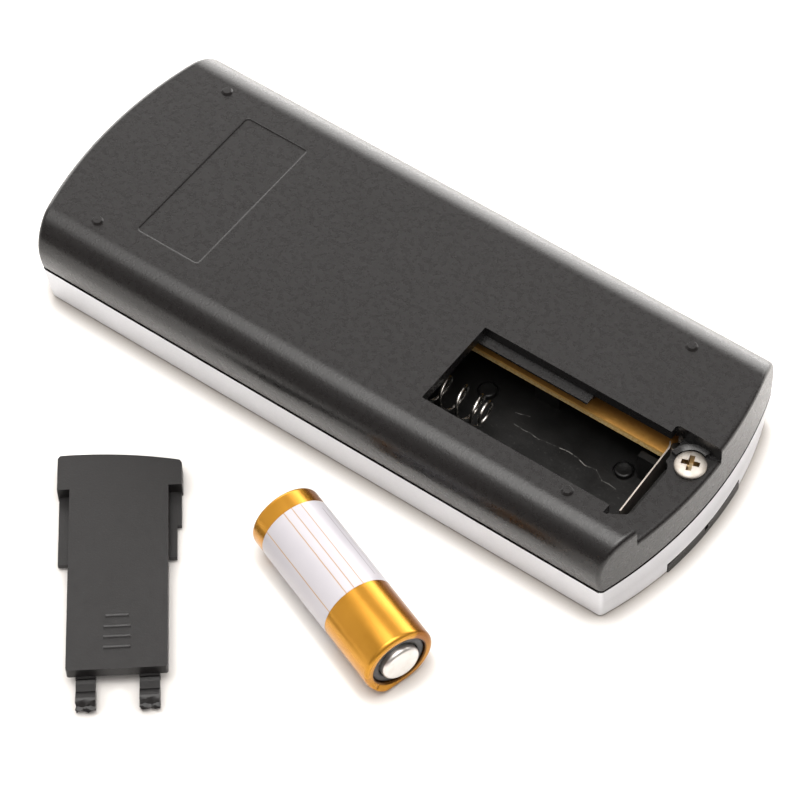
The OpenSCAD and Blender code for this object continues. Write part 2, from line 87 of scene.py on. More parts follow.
# ------------------------------------------------------------------ node helpers
class Nodes:
    """Small builder for a Principled material."""

    def __init__(self, name):
        self.mat = bpy.data.materials.new(name)
        self.mat.use_nodes = True
        self.t = self.mat.node_tree
        self.t.nodes.clear()
        self.out = self.t.nodes.new("ShaderNodeOutputMaterial")
        self.bsdf = self.t.nodes.new("ShaderNodeBsdfPrincipled")
        self.t.links.new(self.bsdf.outputs[0], self.out.inputs[0])
        self._co = None

    def set(self, **kw):
        for k, v in kw.items():
            self.bsdf.inputs[k.replace("_", " ")].default_value = v
        return self

    def new(self, kind, **kw):
        n = self.t.nodes.new(kind)
        for k, v in kw.items():
            if k.startswith("in_"):
                n.inputs[k[3:].replace("_", " ")].default_value = v
            else:
                setattr(n, k, v)
        return n

    def link(self, a, b):
        self.t.links.new(a, b)

    @property
    def co(self):
        if self._co is None:
            self._co = self.new("ShaderNodeTexCoord").outputs["Object"]
        return self._co

    def noise(self, scale, detail=3.0, rough=0.55, vec=None, dist=0.0):
        n = self.new("ShaderNodeTexNoise")
        n.inputs["Scale"].default_value = scale
        n.inputs["Detail"].default_value = detail
        n.inputs["Roughness"].default_value = rough
        n.inputs["Distortion"].default_value = dist
        self.link(vec or self.co, n.inputs["Vector"])
        return n.outputs["Fac"]

    def voronoi(self, scale, feature="F1", vec=None, out="Distance"):
        n = self.new("ShaderNodeTexVoronoi", feature=feature)
        n.inputs["Scale"].default_value = scale
        self.link(vec or self.co, n.inputs["Vector"])
        return n.outputs[out]

    def ramp(self, fac, stops, interp="LINEAR"):
        n = self.new("ShaderNodeValToRGB")
        n.color_ramp.interpolation = interp
        els = n.color_ramp.elements
        while len(els) < len(stops):
            els.new(0.5)
        for e, (p, c) in zip(els, stops):
            e.position = p
            e.color = (*c, 1.0) if len(c) == 3 else c
        self.link(fac, n.inputs["Fac"])
        return n.outputs["Color"]

    def maprange(self, v, a, b, c, d, smooth=False):
        n = self.new("ShaderNodeMapRange")
        if smooth:
            n.interpolation_type = "SMOOTHSTEP"
        n.inputs["From Min"].default_value = a
        n.inputs["From Max"].default_value = b
        n.inputs["To Min"].default_value = c
        n.inputs["To Max"].default_value = d
        self.link(v, n.inputs["Value"])
        return n.outputs["Result"]

    def math(self, op, a, b=None, clamp=False):
        n = self.new("ShaderNodeMath", operation=op, use_clamp=clamp)
        for i, v in enumerate((a, b)):
            if v is None:
                continue
            if isinstance(v, (int, float)):
                n.inputs[i].default_value = v
            else:
                self.link(v, n.inputs[i])
        return n.outputs[0]

    def mix(self, fac, a, b, blend="MIX"):
        n = self.new("ShaderNodeMix", data_type="RGBA", blend_type=blend)
        for i, v in ((0, fac), (6, a), (7, b)):
            if isinstance(v, (int, float)):
                n.inputs[i].default_value = v
            elif isinstance(v, tuple):
                n.inputs[i].default_value = (*v, 1.0) if len(v) == 3 else v
            else:
                self.link(v, n.inputs[i])
        return n.outputs[2]

    def bump(self, height, strength, dist, normal=None):
        n = self.new("ShaderNodeBump")
        n.inputs["Strength"].default_value = strength
        n.inputs["Distance"].default_value = dist
        self.link(height, n.inputs["Height"])
        if normal is not None:
            self.link(normal, n.inputs["Normal"])
        return n.outputs["Normal"]

    def sep(self, vec=None):
        n = self.new("ShaderNodeSeparateXYZ")
        self.link(vec or self.co, n.inputs[0])
        return n.outputs

    def color(self, c):
        self.link(c, self.bsdf.inputs["Base Color"])
        return self

    def rough(self, c):
        self.link(c, self.bsdf.inputs["Roughness"])
        return self

    def normal(self, c):
        self.link(c, self.bsdf.inputs["Normal"])
        return self


# ------------------------------------------------------------------ materials
def black_abs(name, base=0.0065, rough=(0.25, 0.31), grain=1.0, spark=1.0, warm=0.04, spec=0.5):
    """Moulded black ABS with a fine spark-eroded grain."""
    m = Nodes(name)
    big = m.noise(70, 4, 0.6)
    fine = m.noise(4600, 2, 0.55)
    grit = m.noise(2500, 2, 0.6)
    c0 = (base * (0.92 + warm), base * 0.90, base * 0.90)
    c1 = (base * (1.14 + warm), base * 1.12, base * 1.15)
    basec = m.ramp(big, [(0.3, c0), (0.7, c1)])
    # painted glints: tiny pale specks where the grain catches the light
    sp = m.noise(5200, 1, 0.5)
    painted_glint_mask = m.maprange(sp, 0.66, 0.78, 0.0, 0.13 * spark)
    m.color(m.mix(painted_glint_mask, basec, (0.10, 0.098, 0.095)))
    m.rough(m.maprange(m.noise(1100, 3, 0.6), 0.3, 0.7, rough[0], rough[1]))
    m.normal(m.bump(fine, 0.23 * grain, 0.00004, m.bump(grit, 0.36 * grain, 0.00004)))
    m.set(IOR=1.5, Specular_IOR_Level=spec)
    return m.mat


def silver_paint(name):
    m = Nodes(name)
    big = m.noise(60, 3, 0.5)
    flake = m.voronoi(4200, out="Color")
    fl = m.sep(flake)[0]
    base = m.ramp(big, [(0.3, (0.665, 0.675, 0.70)), (0.7, (0.725, 0.735, 0.765))])
    coat = m.mix(m.maprange(fl, 0.2, 1.0, 0.0, 0.16), base, (0.84, 0.84, 0.86))
    # painted shade: faces turned towards the ends are mixed up to 23 % towards black, fading out below 3.4 mm and gone
    # below 1.2 mm
    geo = m.new("ShaderNodeNewGeometry")
    ends = m.maprange(m.math("ABSOLUTE", m.sep(geo.outputs["Normal"])[0]), 0.6, 0.97, 0.0, 0.23)
    ends = m.math("MULTIPLY", ends, m.maprange(m.sep()[2], 0.0012, 0.0034, 0.0, 1.0))
    m.color(m.mix(ends, coat, (0.0, 0.0, 0.0)))
    m.rough(m.maprange(m.noise(500, 2, 0.5), 0.3, 0.7, 0.36, 0.46))
    m.set(Metallic=0.35, IOR=1.5)
    m.normal(m.bump(m.noise(2600, 2, 0.6), 0.12, 0.00004))
    return m.mat


def gloss_black(name, base=0.006, rough=(0.24, 0.34)):
    m = Nodes(name)
    m.color(m.ramp(m.noise(40, 3, 0.5), [(0.3, (base * 0.8,) * 3), (0.7, (base * 1.3, base * 1.3, base * 1.35))]))
    m.rough(m.maprange(m.noise(220, 4, 0.65), 0.3, 0.75, rough[0], rough[1]))
    m.normal(m.bump(m.noise(700, 2, 0.5), 0.05, 0.00004))
    m.set(IOR=1.5, Specular_IOR_Level=0.28)
    return m.mat


def plain_plastic(name, c, rough=(0.35, 0.5), var=0.12, grain=900, bump=0.15):
    m = Nodes(name)
    lo = tuple(v * (1 - var) for v in c)
    hi = tuple(min(1.0, v * (1 + var)) for v in c)
    m.color(m.ramp(m.noise(120, 4, 0.6), [(0.3, lo), (0.7, hi)]))
    m.rough(m.maprange(m.noise(300, 3, 0.6), 0.3, 0.7, rough[0], rough[1]))
    m.normal(m.bump(m.noise(grain, 2, 0.6), bump, 0.00005))
    m.set(IOR=1.5)
    return m.mat


def metal(name, c, rough=(0.18, 0.32), var=0.12, scratch=0.25, scale=700, tint=None):
    m = Nodes(name)
    lo = tuple(v * (1 - var) for v in c)
    hi = tuple(min(1.0, v * (1 + var * 0.5)) for v in c)
    base = m.ramp(m.noise(420, 4, 0.62), [(0.3, lo), (0.7, hi)])
    if tint:
        base = m.mix(m.maprange(m.noise(800, 3, 0.6), 0.45, 0.7, 0.0, 0.5), base, tint)
    m.color(base)
    m.rough(m.maprange(m.noise(900, 4, 0.6), 0.3, 0.7, rough[0], rough[1]))
    mp = m.new("ShaderNodeMapping")
    mp.inputs["Scale"].default_value = (1, 14, 1)
    m.link(m.co, mp.inputs["Vector"])
    m.normal(m.bump(m.noise(scale, 3, 0.6, vec=mp.outputs[0]), scratch * 0.4, 0.00003))
    m.set(Metallic=1.0)
    return m.mat


MAT = {}
MAT["cover"] = black_abs("cover_black_abs")
MAT["door"] = black_abs("door_black_abs", base=0.008, rough=(0.36, 0.44), spark=0.6, spec=0.36)
MAT["inner"] = black_abs("inner_black_abs", base=0.005, rough=(0.34, 0.46), grain=0.4, spark=0.2)
MAT["silver"] = silver_paint("silver_paint")
MAT["panel"] = gloss_black("panel_black")
MAT["red"] = plain_plastic("key_red", (0.42, 0.018, 0.012), (0.30, 0.42))
MAT["grey"] = plain_plastic("key_grey", (0.10, 0.10, 0.105), (0.38, 0.5))
MAT["white_print"] = plain_plastic("print_white", (0.72, 0.72, 0.70), (0.4, 0.5), var=0.04)
MAT["steel"] = metal("nickel_steel", (0.55, 0.52, 0.47), (0.26, 0.42), 0.22, 0.6)
MAT["screw"] = metal("screw_nickel", (0.50, 0.47, 0.43), (0.46, 0.62), 0.22, 1.6, 1500, tint=(0.38, 0.31, 0.24))
MAT["tin"] = metal("tinned_steel", (0.62, 0.62, 0.63), (0.26, 0.4))
MAT["can"] = metal("drawn_can", (0.70, 0.70, 0.69), (0.2, 0.3))
MAT["strip"] = metal("contact_strip", (0.44, 0.40, 0.36), (0.34, 0.46))
MAT["copper"] = metal("enamelled_copper", (0.58, 0.25, 0.09), (0.2, 0.3))
MAT["chip"] = plain_plastic("chip_epoxy", (0.022, 0.022, 0.024), (0.45, 0.6))
MAT["ceramic"] = plain_plastic("chip_ceramic", (0.45, 0.34, 0.2), (0.4, 0.5))
MAT["blue"] = plain_plastic("trimmer_blue", (0.05, 0.12, 0.38), (0.3, 0.4))
MAT["insul"] = plain_plastic("insulator_black", (0.016, 0.016, 0.019), (0.28, 0.4))


def board_mat():
    """Brown phenolic board, tan and fibrous where it is sheared; painted shade darkens its top towards the far side,
    at the far right end and over the left part.
    """
    m = Nodes("board_phenolic")
    geo = m.new("ShaderNodeNewGeometry")
    nz = m.sep(geo.outputs["Normal"])[2]
    top = m.maprange(nz, 0.4, 0.7, 0.0, 1.0)
    y = m.sep()[1]
    # painted shade: the top darkens from the lit near edge to the far side under the cover's skin
    painted_shade_fade = m.maprange(y, 0.0016, 0.0046, 0.0, 1.0)
    mott = m.noise(1400, 4, 0.65)
    gold = m.mix(mott, (0.58, 0.27, 0.055), (0.78, 0.43, 0.11))
    painted_shade_brown = m.mix(mott, (0.12, 0.045, 0.006), (0.18, 0.075, 0.014))
    topc = m.mix(painted_shade_fade, gold, painted_shade_brown)
    # painted shade: near black past x = 42.2 mm, at the board's far right end
    topc = m.mix(m.maprange(m.sep()[0], 0.0422, 0.0429, 0.0, 1.0), topc, (0.03, 0.016, 0.008))
    # painted shade: darker over the left part of the board, from x = 37 mm down to 26 mm, more so towards the far side
    painted_shade_left = m.math("MULTIPLY", m.maprange(m.sep()[0], 0.037, 0.026, 0.0, 1.0), m.maprange(y, 0.0006, 0.0036, 0.25, 0.8))
    topc = m.mix(painted_shade_left, topc, (0.10, 0.042, 0.008))
    pale = m.ramp(m.noise(3400, 4, 0.75), [(0.34, (0.66, 0.41, 0.13)), (0.50, (0.90, 0.64, 0.27)), (0.66, (0.97, 0.81, 0.45))])
    edge = m.mix(m.maprange(m.sep()[2], 0.0085, 0.0091, 0.0, 1.0), pale, (0.85, 0.50, 0.13))
    m.color(m.mix(top, edge, topc))
    m.rough(m.maprange(mott, 0.3, 0.7, 0.28, 0.5))
    m.normal(m.bump(m.noise(3000, 3, 0.7), 0.4, 0.00006))
    return m.mat


MAT["board"] = board_mat()


def lamp_mat(name, c, rough, trans):
    m = Nodes(name)
    m.color(m.ramp(m.noise(300, 2, 0.5), [(0.3, tuple(v * 0.9 for v in c)), (0.7, c)]))
    m.rough(m.maprange(m.noise(500, 2, 0.5), 0.3, 0.7, rough, rough + 0.08))
    m.set(Transmission_Weight=trans, IOR=1.5)
    return m.mat


MAT["lamp"] = lamp_mat("lamp_red", (0.75, 0.08, 0.05), 0.1, 0.5)
MAT["window"] = lamp_mat("window_clear", (0.85, 0.85, 0.86), 0.05, 0.9)

# ------------------------------------------------------------------ battery axis
CELL_C = Vector((18.33, -37.69, 5.15))
CELL_A = math.radians(-20.17)
CELL_R = 5.15
CELL_H = 27.66 / 2


def cell_space(m):
    """Coordinates along the battery axis and round it, in metres and turns."""
    mp = m.new("ShaderNodeMapping", vector_type="POINT")
    sub = m.new("ShaderNodeVectorMath", operation="SUBTRACT")
    m.link(m.co, sub.inputs[0])
    sub.inputs[1].default_value = CELL_C * MM
    rot = m.new("ShaderNodeVectorRotate", rotation_type="Z_AXIS")
    m.link(sub.outputs[0], rot.inputs["Vector"])
    rot.inputs["Angle"].default_value = -CELL_A
    s = m.sep(rot.outputs[0])
    ang = m.math("ARCTAN2", s[2], s[1])  # 0 at +v, pi/2 up
    return s[0], ang, rot.outputs[0]


def gold_mat():
    """Gold foil with a painted dark reflection down one side; near black at the rolled rim of the negative end, with
    painted shade inside the lip at the raised end.
    """
    m = Nodes("gold_foil")
    s, ang, vec = cell_space(m)
    base = m.ramp(m.noise(260, 4, 0.6, vec=vec), [(0.3, (0.51, 0.236, 0.022)), (0.7, (0.57, 0.272, 0.030))])
    # painted reflection: a dark brown band down one side of the foil, where it would mirror the case lying beside it
    side = m.math("MULTIPLY", m.maprange(ang, math.radians(50), math.radians(61), 1.0, 0.0, smooth=True), m.maprange(ang, math.radians(-15), math.radians(27), 0.25, 1.0, smooth=True))
    base = m.mix(m.math("MULTIPLY", side, 0.92), base, (0.25, 0.082, 0.006))
    # near black over the last 0.2 mm of the rolled rim at the negative end; painted shade on the inner face of the lip
    # at the raised end
    q = m.sep(vec)
    rad = m.math("SQRT", m.math("ADD", m.math("MULTIPLY", q[1], q[1]), m.math("MULTIPLY", q[2], q[2])))
    curl = m.maprange(s, -0.01352, -0.01370, 0.0, 0.9)
    inner = m.math("MULTIPLY", m.maprange(rad, 0.00418, 0.00404, 0.0, 0.85), m.maprange(s, 0.0129, 0.0131, 0.0, 1.0))
    base = m.mix(m.math("MAXIMUM", curl, inner), base, (0.07, 0.026, 0.006))
    m.color(base)
    m.rough(m.maprange(m.noise(300, 2, 0.5, vec=vec), 0.3, 0.7, 0.245, 0.275))
    m.normal(m.bump(m.noise(500, 2, 0.5, vec=vec), 0.008, 0.00005))
    m.set(Metallic=0.70, IOR=1.45)
    return m.mat


def label_mat():
    """Pale film with thin lengthwise pinstripes, otherwise bare."""
    m = Nodes("label_film")
    s, ang, vec = cell_space(m)
    base = m.ramp(m.noise(110, 3, 0.5, vec=vec), [(0.3, (0.465, 0.452, 0.485)), (0.7, (0.505, 0.492, 0.522))])
    wob = m.math("MULTIPLY", m.math("SUBTRACT", m.noise(900, 2, 0.5, vec=vec), 0.5), 0.012)
    a = m.math("ADD", ang, wob)
    colr = base
    for deg, half, tint, lo, hi in (
        (146.0, 0.9, (0.42, 0.24, 0.07), -0.0111, 0.00405),
        (107.5, 0.85, (0.40, 0.23, 0.09), -0.0111, 0.00405),
        (93.7, 0.8, (0.38, 0.22, 0.09), -0.0111, 0.00405),
        (78.3, 0.75, (0.38, 0.23, 0.10), -0.0111, 0.00405),
        (47.5, 0.9, (0.26, 0.24, 0.26), -0.0098, 0.0030),
        (36.5, 0.8, (0.30, 0.28, 0.30), -0.0098, 0.0030),
        (29.0, 0.8, (0.32, 0.30, 0.32), -0.0098, 0.0030),
        (200.0, 1.0, (0.58, 0.28, 0.09), -0.0111, 0.00405),
        (-40.0, 1.0, (0.58, 0.28, 0.09), -0.0111, 0.00405),
    ):
        rad = math.radians(deg if deg <= 180 else deg - 360)
        d = m.math("ABSOLUTE", m.math("SUBTRACT", a, rad))
        w = math.radians(half)
        k = m.maprange(d, w * 0.55, w * 1.35, 0.85, 0.0)
        if lo > -0.011:
            k = m.math("MULTIPLY", k, m.math("MULTIPLY", m.maprange(s, lo, lo + 0.0002, 0, 1), m.maprange(s, hi - 0.0002, hi, 1, 0)))
        colr = m.mix(k, colr, tint)
    m.color(colr)
    m.rough(m.maprange(m.noise(220, 2, 0.5, vec=vec), 0.3, 0.7, 0.29, 0.34))
    m.normal(m.bump(m.noise(300, 2, 0.5, vec=vec), 0.03, 0.00005))
    m.set(IOR=1.5)
    return m.mat


MAT["gold"] = gold_mat()
MAT["label"] = label_mat()


def floor_mat_inner():
    """Bare black inside of the front shell, with a few wavy pale scratches on the compartment floor."""
    m = Nodes("bay_floor_black")
    geo = m.new("ShaderNodeNewGeometry")
    up = m.maprange(m.sep(geo.outputs["Normal"])[2], 0.6, 0.9, 0, 1)
    xyz = m.sep()
    x, y = xyz[0], xyz[1]
    base = m.ramp(m.noise(160, 4, 0.6), [(0.3, (0.004, 0.004, 0.004)), (0.7, (0.009, 0.0088, 0.0085))])
    wob = m.math("MULTIPLY", m.math("SUBTRACT", m.noise(1500, 3, 0.6), 0.5), 0.00025)
    gaps = m.maprange(m.noise(1500, 2, 0.5), 0.40, 0.55, 0.08, 0.9)

    def path(pts, strength, half):
        """Distance to a wavy line given as (x, y) points in millimetres, with a brightness along it."""
        x0, x1 = pts[0][0], pts[-1][0]
        lo, hi = min(q[1] for q in pts) - 0.1, max(q[1] for q in pts) + 0.1
        t = m.maprange(x, x0 * MM, x1 * MM, 0.0, 1.0)
        at = m.ramp(t, [((q[0] - x0) / (x1 - x0), ((q[1] - lo) / (hi - lo),) * 3) for q in pts])
        line = m.maprange(m.sep(at)[0], 0.0, 1.0, lo * MM, hi * MM)
        d = m.math("ABSOLUTE", m.math("ADD", m.math("SUBTRACT", y, line), wob))
        k = m.math("MULTIPLY", m.maprange(d, half * 0.3 * MM, half * MM, 1, 0), m.sep(m.ramp(t, [((q - x0) / (x1 - x0), (v,) * 3) for q, v in strength]))[0])
        return m.math("MULTIPLY", k, m.math("MULTIPLY", m.maprange(x, (x0 - 0.05) * MM, (x0 + 0.1) * MM, 0, 1), m.maprange(x, (x1 + 0.05) * MM, (x1 - 0.1) * MM, 0, 1)))

    k = path([(20.27, -2.09), (21.7, -2.19), (23.06, -2.12), (24.41, -2.31), (25.55, -2.07), (26.46, -1.97), (27.46, -1.86), (28.92, -1.67), (30.37, -1.78), (32.07, -2.26), (33.68, -1.97), (35.33, -3.04), (36.36, -2.91), (37.62, -3.10)],
             [(20.27, 0.3), (22.0, 0.35), (22.6, 0.6), (25.3, 0.55), (25.8, 0.12), (27.2, 0.15), (27.7, 0.9), (31.8, 0.9), (32.3, 0.65), (33.6, 0.6), (33.9, 0.12), (35.0, 0.15), (35.3, 0.45), (37.62, 0.3)], 0.10)
    k = m.math("MAXIMUM", k, path([(19.34, -0.46), (20.29, -0.22), (21.44, 0.16)], [(19.34, 0.3), (20.2, 0.75), (21.44, 0.4)], 0.09))
    k = m.math("MULTIPLY", m.math("MULTIPLY", k, up), gaps)
    # pale specks on the floor's grain, strongest on the near side: painted glints, fading towards the board as painted
    # shade
    specks = m.math("MULTIPLY", m.maprange(y, 0.0, -0.004, 0.3, 1.0), m.maprange(m.noise(2600, 3, 0.7), 0.60, 0.74, 0.0, 0.34))
    c = m.mix(specks, base, (0.075, 0.072, 0.068))
    m.color(m.mix(m.math("MULTIPLY", k, 0.9), c, (0.24, 0.235, 0.225)))
    m.rough(m.maprange(m.noise(420, 4, 0.7), 0.3, 0.7, 0.30, 0.46))
    m.normal(m.bump(m.noise(1500, 4, 0.7), 0.3, 0.0001))
    m.set(IOR=1.5, Specular_IOR_Level=0.26)
    return m.mat


MAT["inside"] = floor_mat_inner()


# ------------------------------------------------------------------ mesh helpers
def new_obj(name, verts, faces, mats):
    """A mesh drawn in millimetres. to_metres() scales them all once, at the end."""
    me = bpy.data.meshes.new(name)
    me.from_pydata([tuple(float(c) for c in v) for v in verts], [], faces)
    for x in mats:
        me.materials.append(x)
    ob = bpy.data.objects.new(name, me)
    ob["in_mm"] = True
    col.objects.link(ob)
    me.validate()
    return ob


def to_metres():
    for ob in list(bpy.data.objects):
        if ob.get("in_mm"):
            ob.data.transform(Matrix.Scale(MM, 4))
            del ob["in_mm"]


def clean(ob, merge=1e-3, recalc=True):
    bm = bmesh.new()
    bm.from_mesh(ob.data)
    bmesh.ops.remove_doubles(bm, verts=bm.verts, dist=merge)
    if recalc:
        bmesh.ops.recalc_face_normals(bm, faces=bm.faces)
    bm.to_mesh(ob.data)
    bm.free()


def dissolve(ob, deg=0.25):
    bm = bmesh.new()
    bm.from_mesh(ob.data)
    bmesh.ops.remove_doubles(bm, verts=bm.verts, dist=2e-3)
    bmesh.ops.dissolve_degenerate(bm, dist=2e-3, edges=bm.edges)
    bmesh.ops.dissolve_limit(bm, angle_limit=math.radians(deg), verts=bm.verts, edges=bm.edges, delimit={"MATERIAL"})
    bm.to_mesh(ob.data)
    bm.free()


def apply_mods(ob):
    bpy.context.view_layer.update()
    dg = bpy.context.evaluated_depsgraph_get()
    me = bpy.data.meshes.new_from_object(ob.evaluated_get(dg))
    old = ob.data
    ob.modifiers.clear()
    ob.data = me
    me.name = ob.name
    bpy.data.meshes.remove(old)


def boolean(ob, tool, op="DIFFERENCE", keep=False):
    md = ob.modifiers.new("b", "BOOLEAN")
    md.operation = op
    md.solver = "EXACT"
    md.object = tool
    before = len(ob.data.polygons)
    try:
        md.material_mode = "TRANSFER"
    except Exception:
        pass
    apply_mods(ob)
    if len(ob.data.polygons) < max(4, before // 3):
        raise RuntimeError(f"boolean on {ob.name} lost the solid")
    if not keep:
        bpy.data.objects.remove(tool)


def joined(tools):
    """One tool out of several that don't touch."""
    bm = bmesh.new()
    for t in tools:
        bm.from_mesh(t.data)
    me = bpy.data.meshes.new("tool")
    bm.to_mesh(me)
    bm.free()
    for m in tools[0].data.materials:
        me.materials.append(m)
    for t in tools:
        bpy.data.objects.remove(t)
    ob = bpy.data.objects.new("tool", me)
    col.objects.link(ob)
    return ob


def block(a, b, mats=(), name="tool"):
    (x0, y0, z0), (x1, y1, z1) = a, b
    v = [(x, y, z) for z in (z0, z1) for y in (y0, y1) for x in (x0, x1)]
    f = [(0, 2, 3, 1), (4, 5, 7, 6), (0, 1, 5, 4), (2, 6, 7, 3), (0, 4, 6, 2), (1, 3, 7, 5)]
    return new_obj(name, v, f, mats)


def prism(pts, z0, z1, mats=(), name="tool"):
    """Closed prism from a plan outline."""
    n = len(pts)
    v = [(x, y, z0) for x, y in pts] + [(x, y, z1) for x, y in pts]
    f = [tuple(range(n - 1, -1, -1)), tuple(range(n, 2 * n))]
    f += [(i, (i + 1) % n, n + (i + 1) % n, n + i) for i in range(n)]
    ob = new_obj(name, v, f, mats)
    clean(ob)
    return ob


def cyl(cx, cy, r, z0, z1, n=48, mats=(), name="tool"):
    return prism([(cx + r * math.cos(2 * math.pi * i / n), cy + r * math.sin(2 * math.pi * i / n)) for i in range(n)], z0, z1, mats, name)


def rounded(a, b, r, n=6):
    """Plan outline of a rounded rectangle."""
    (x0, y0), (x1, y1) = a, b
    out = []
    for cx, cy, s in ((x1 - r, y1 - r, 0), (x0 + r, y1 - r, 90), (x0 + r, y0 + r, 180), (x1 - r, y0 + r, 270)):
        for i in range(n + 1):
            t = math.radians(s + 90 * i / n)
            out.append((cx + r * math.cos(t), cy + r * math.sin(t)))
    return out


def lathe(name, prof, mats, n=96, close=True):
    """Turns (axial, radius) points round the X axis. Radius 0 ends close to a point."""
    verts, faces, rings = [], [], []
    for s, r in prof:
        if r <= 1e-6:
            rings.append([len(verts)])
            verts.append((s, 0, 0))
        else:
            rings.append(list(range(len(verts), len(verts) + n)))
            verts += [(s, r * math.cos(2 * math.pi * i / n), r * math.sin(2 * math.pi * i / n)) for i in range(n)]
    for a, b in zip(rings, rings[1:]):
        for i in range(n):
            j = (i + 1) % n
            if len(a) == 1 and len(b) == 1:
                continue
            if len(a) == 1:
                faces.append((a[0], b[i], b[j]))
            elif len(b) == 1:
                faces.append((a[i], b[0], a[j]))
            else:
                faces.append((a[i], b[i], b[j], a[j]))
    if close and len(rings[0]) > 1 and len(rings[-1]) > 1:
        a, b = rings[-1], rings[0]
        faces += [(a[i], b[i], b[(i + 1) % n], a[(i + 1) % n]) for i in range(n)]
    ob = new_obj(name, verts, faces, mats)
    clean(ob)
    return ob


def place(ob, m):
    """Moves the mesh itself."""
    ob.data.transform(m)
    return ob


def smooth(ob, deg=32):
    me = ob.data
    me.shade_smooth()
    me.set_sharp_from_angle(angle=math.radians(deg))


def bevel(ob, width, seg=3, deg=28, wn=True, close=1.5e-6):
    md = ob.modifiers.new("bevel", "BEVEL")
    md.width = width * MM
    md.segments = seg
    md.limit_method = "ANGLE"
    md.angle_limit = math.radians(deg)
    md.harden_normals = False
    md.miter_outer = "MITER_ARC"
    md.use_clamp_overlap = True
    wd = ob.modifiers.new("close", "WELD")
    wd.merge_threshold = close
    if wn:
        w = ob.modifiers.new("wn", "WEIGHTED_NORMAL")
        w.keep_sharp = True
        w.weight = 60


def cad_hard(node, mat, width=0.08, seg=2, deg=28, planar=0.6):
    """Welds a CAD node's triangles into faces and rounds its edges, without touching its mesh."""
    ob = frame["nodes"][node]
    ob.data.materials.clear()
    ob.data.materials.append(mat)
    ob.data.shade_smooth()
    a = ob.modifiers.new("weld", "WELD")
    a.merge_threshold = 2e-6
    d = ob.modifiers.new("planar", "DECIMATE")
    d.decimate_type = "DISSOLVE"
    d.angle_limit = math.radians(planar)
    if width:
        bevel(ob, width, seg, deg)
    return ob


CASE_L, CASE_H = 100.4, 15.47
END_R = (39.9 ** 2 / 4 + 3.3 ** 2) / (2 * 3.3)
END_C = CASE_L / 2 - END_R
JZ, GAP, WALL = 6.9, 0.3, 1.65
COVER_Z = JZ + GAP / 2
SHELL_Z = JZ - GAP / 2
EDGE_R = 5.0
ROUND_Z = CASE_H - EDGE_R
SIDE_Y = 39.9 / 2 + 0.5
ROUND_Y = SIDE_Y - EDGE_R
SIDE_R = 12.75
SHELF_Z = 12.9
CEIL = CASE_H - WALL
BX0, BX1, BY0, BY1 = 13.4, 43.2, -12.95, 1.22
SCREW = (47.3, -0.4)


def cover_profile(o, zlow, n1=5, n2=14, cols=24):
    """Cross-section of the rear cover from the +Y side over the top to the -Y side: points and normals."""
    side = []
    t0 = math.asin((ROUND_Z - zlow) / (SIDE_R - o))
    for i in range(n1):
        t = -t0 * (1 - i / n1)
        side.append((SIDE_Y - SIDE_R + (SIDE_R - o) * math.cos(t), ROUND_Z + (SIDE_R - o) * math.sin(t), math.cos(t), math.sin(t)))
    for i in range(n2 + 1):
        t = math.pi / 2 * i / n2
        side.append((ROUND_Y + (EDGE_R - o) * math.cos(t), ROUND_Z + (EDGE_R - o) * math.sin(t), math.cos(t), math.sin(t)))
    m = len(side)
    top = [(ROUND_Y * (1 - 2 * j / cols), CASE_H - o, 0.0, 1.0) for j in range(1, cols)]
    return side, top, [(-y, z, -ny, nz) for y, z, ny, nz in reversed(side)]


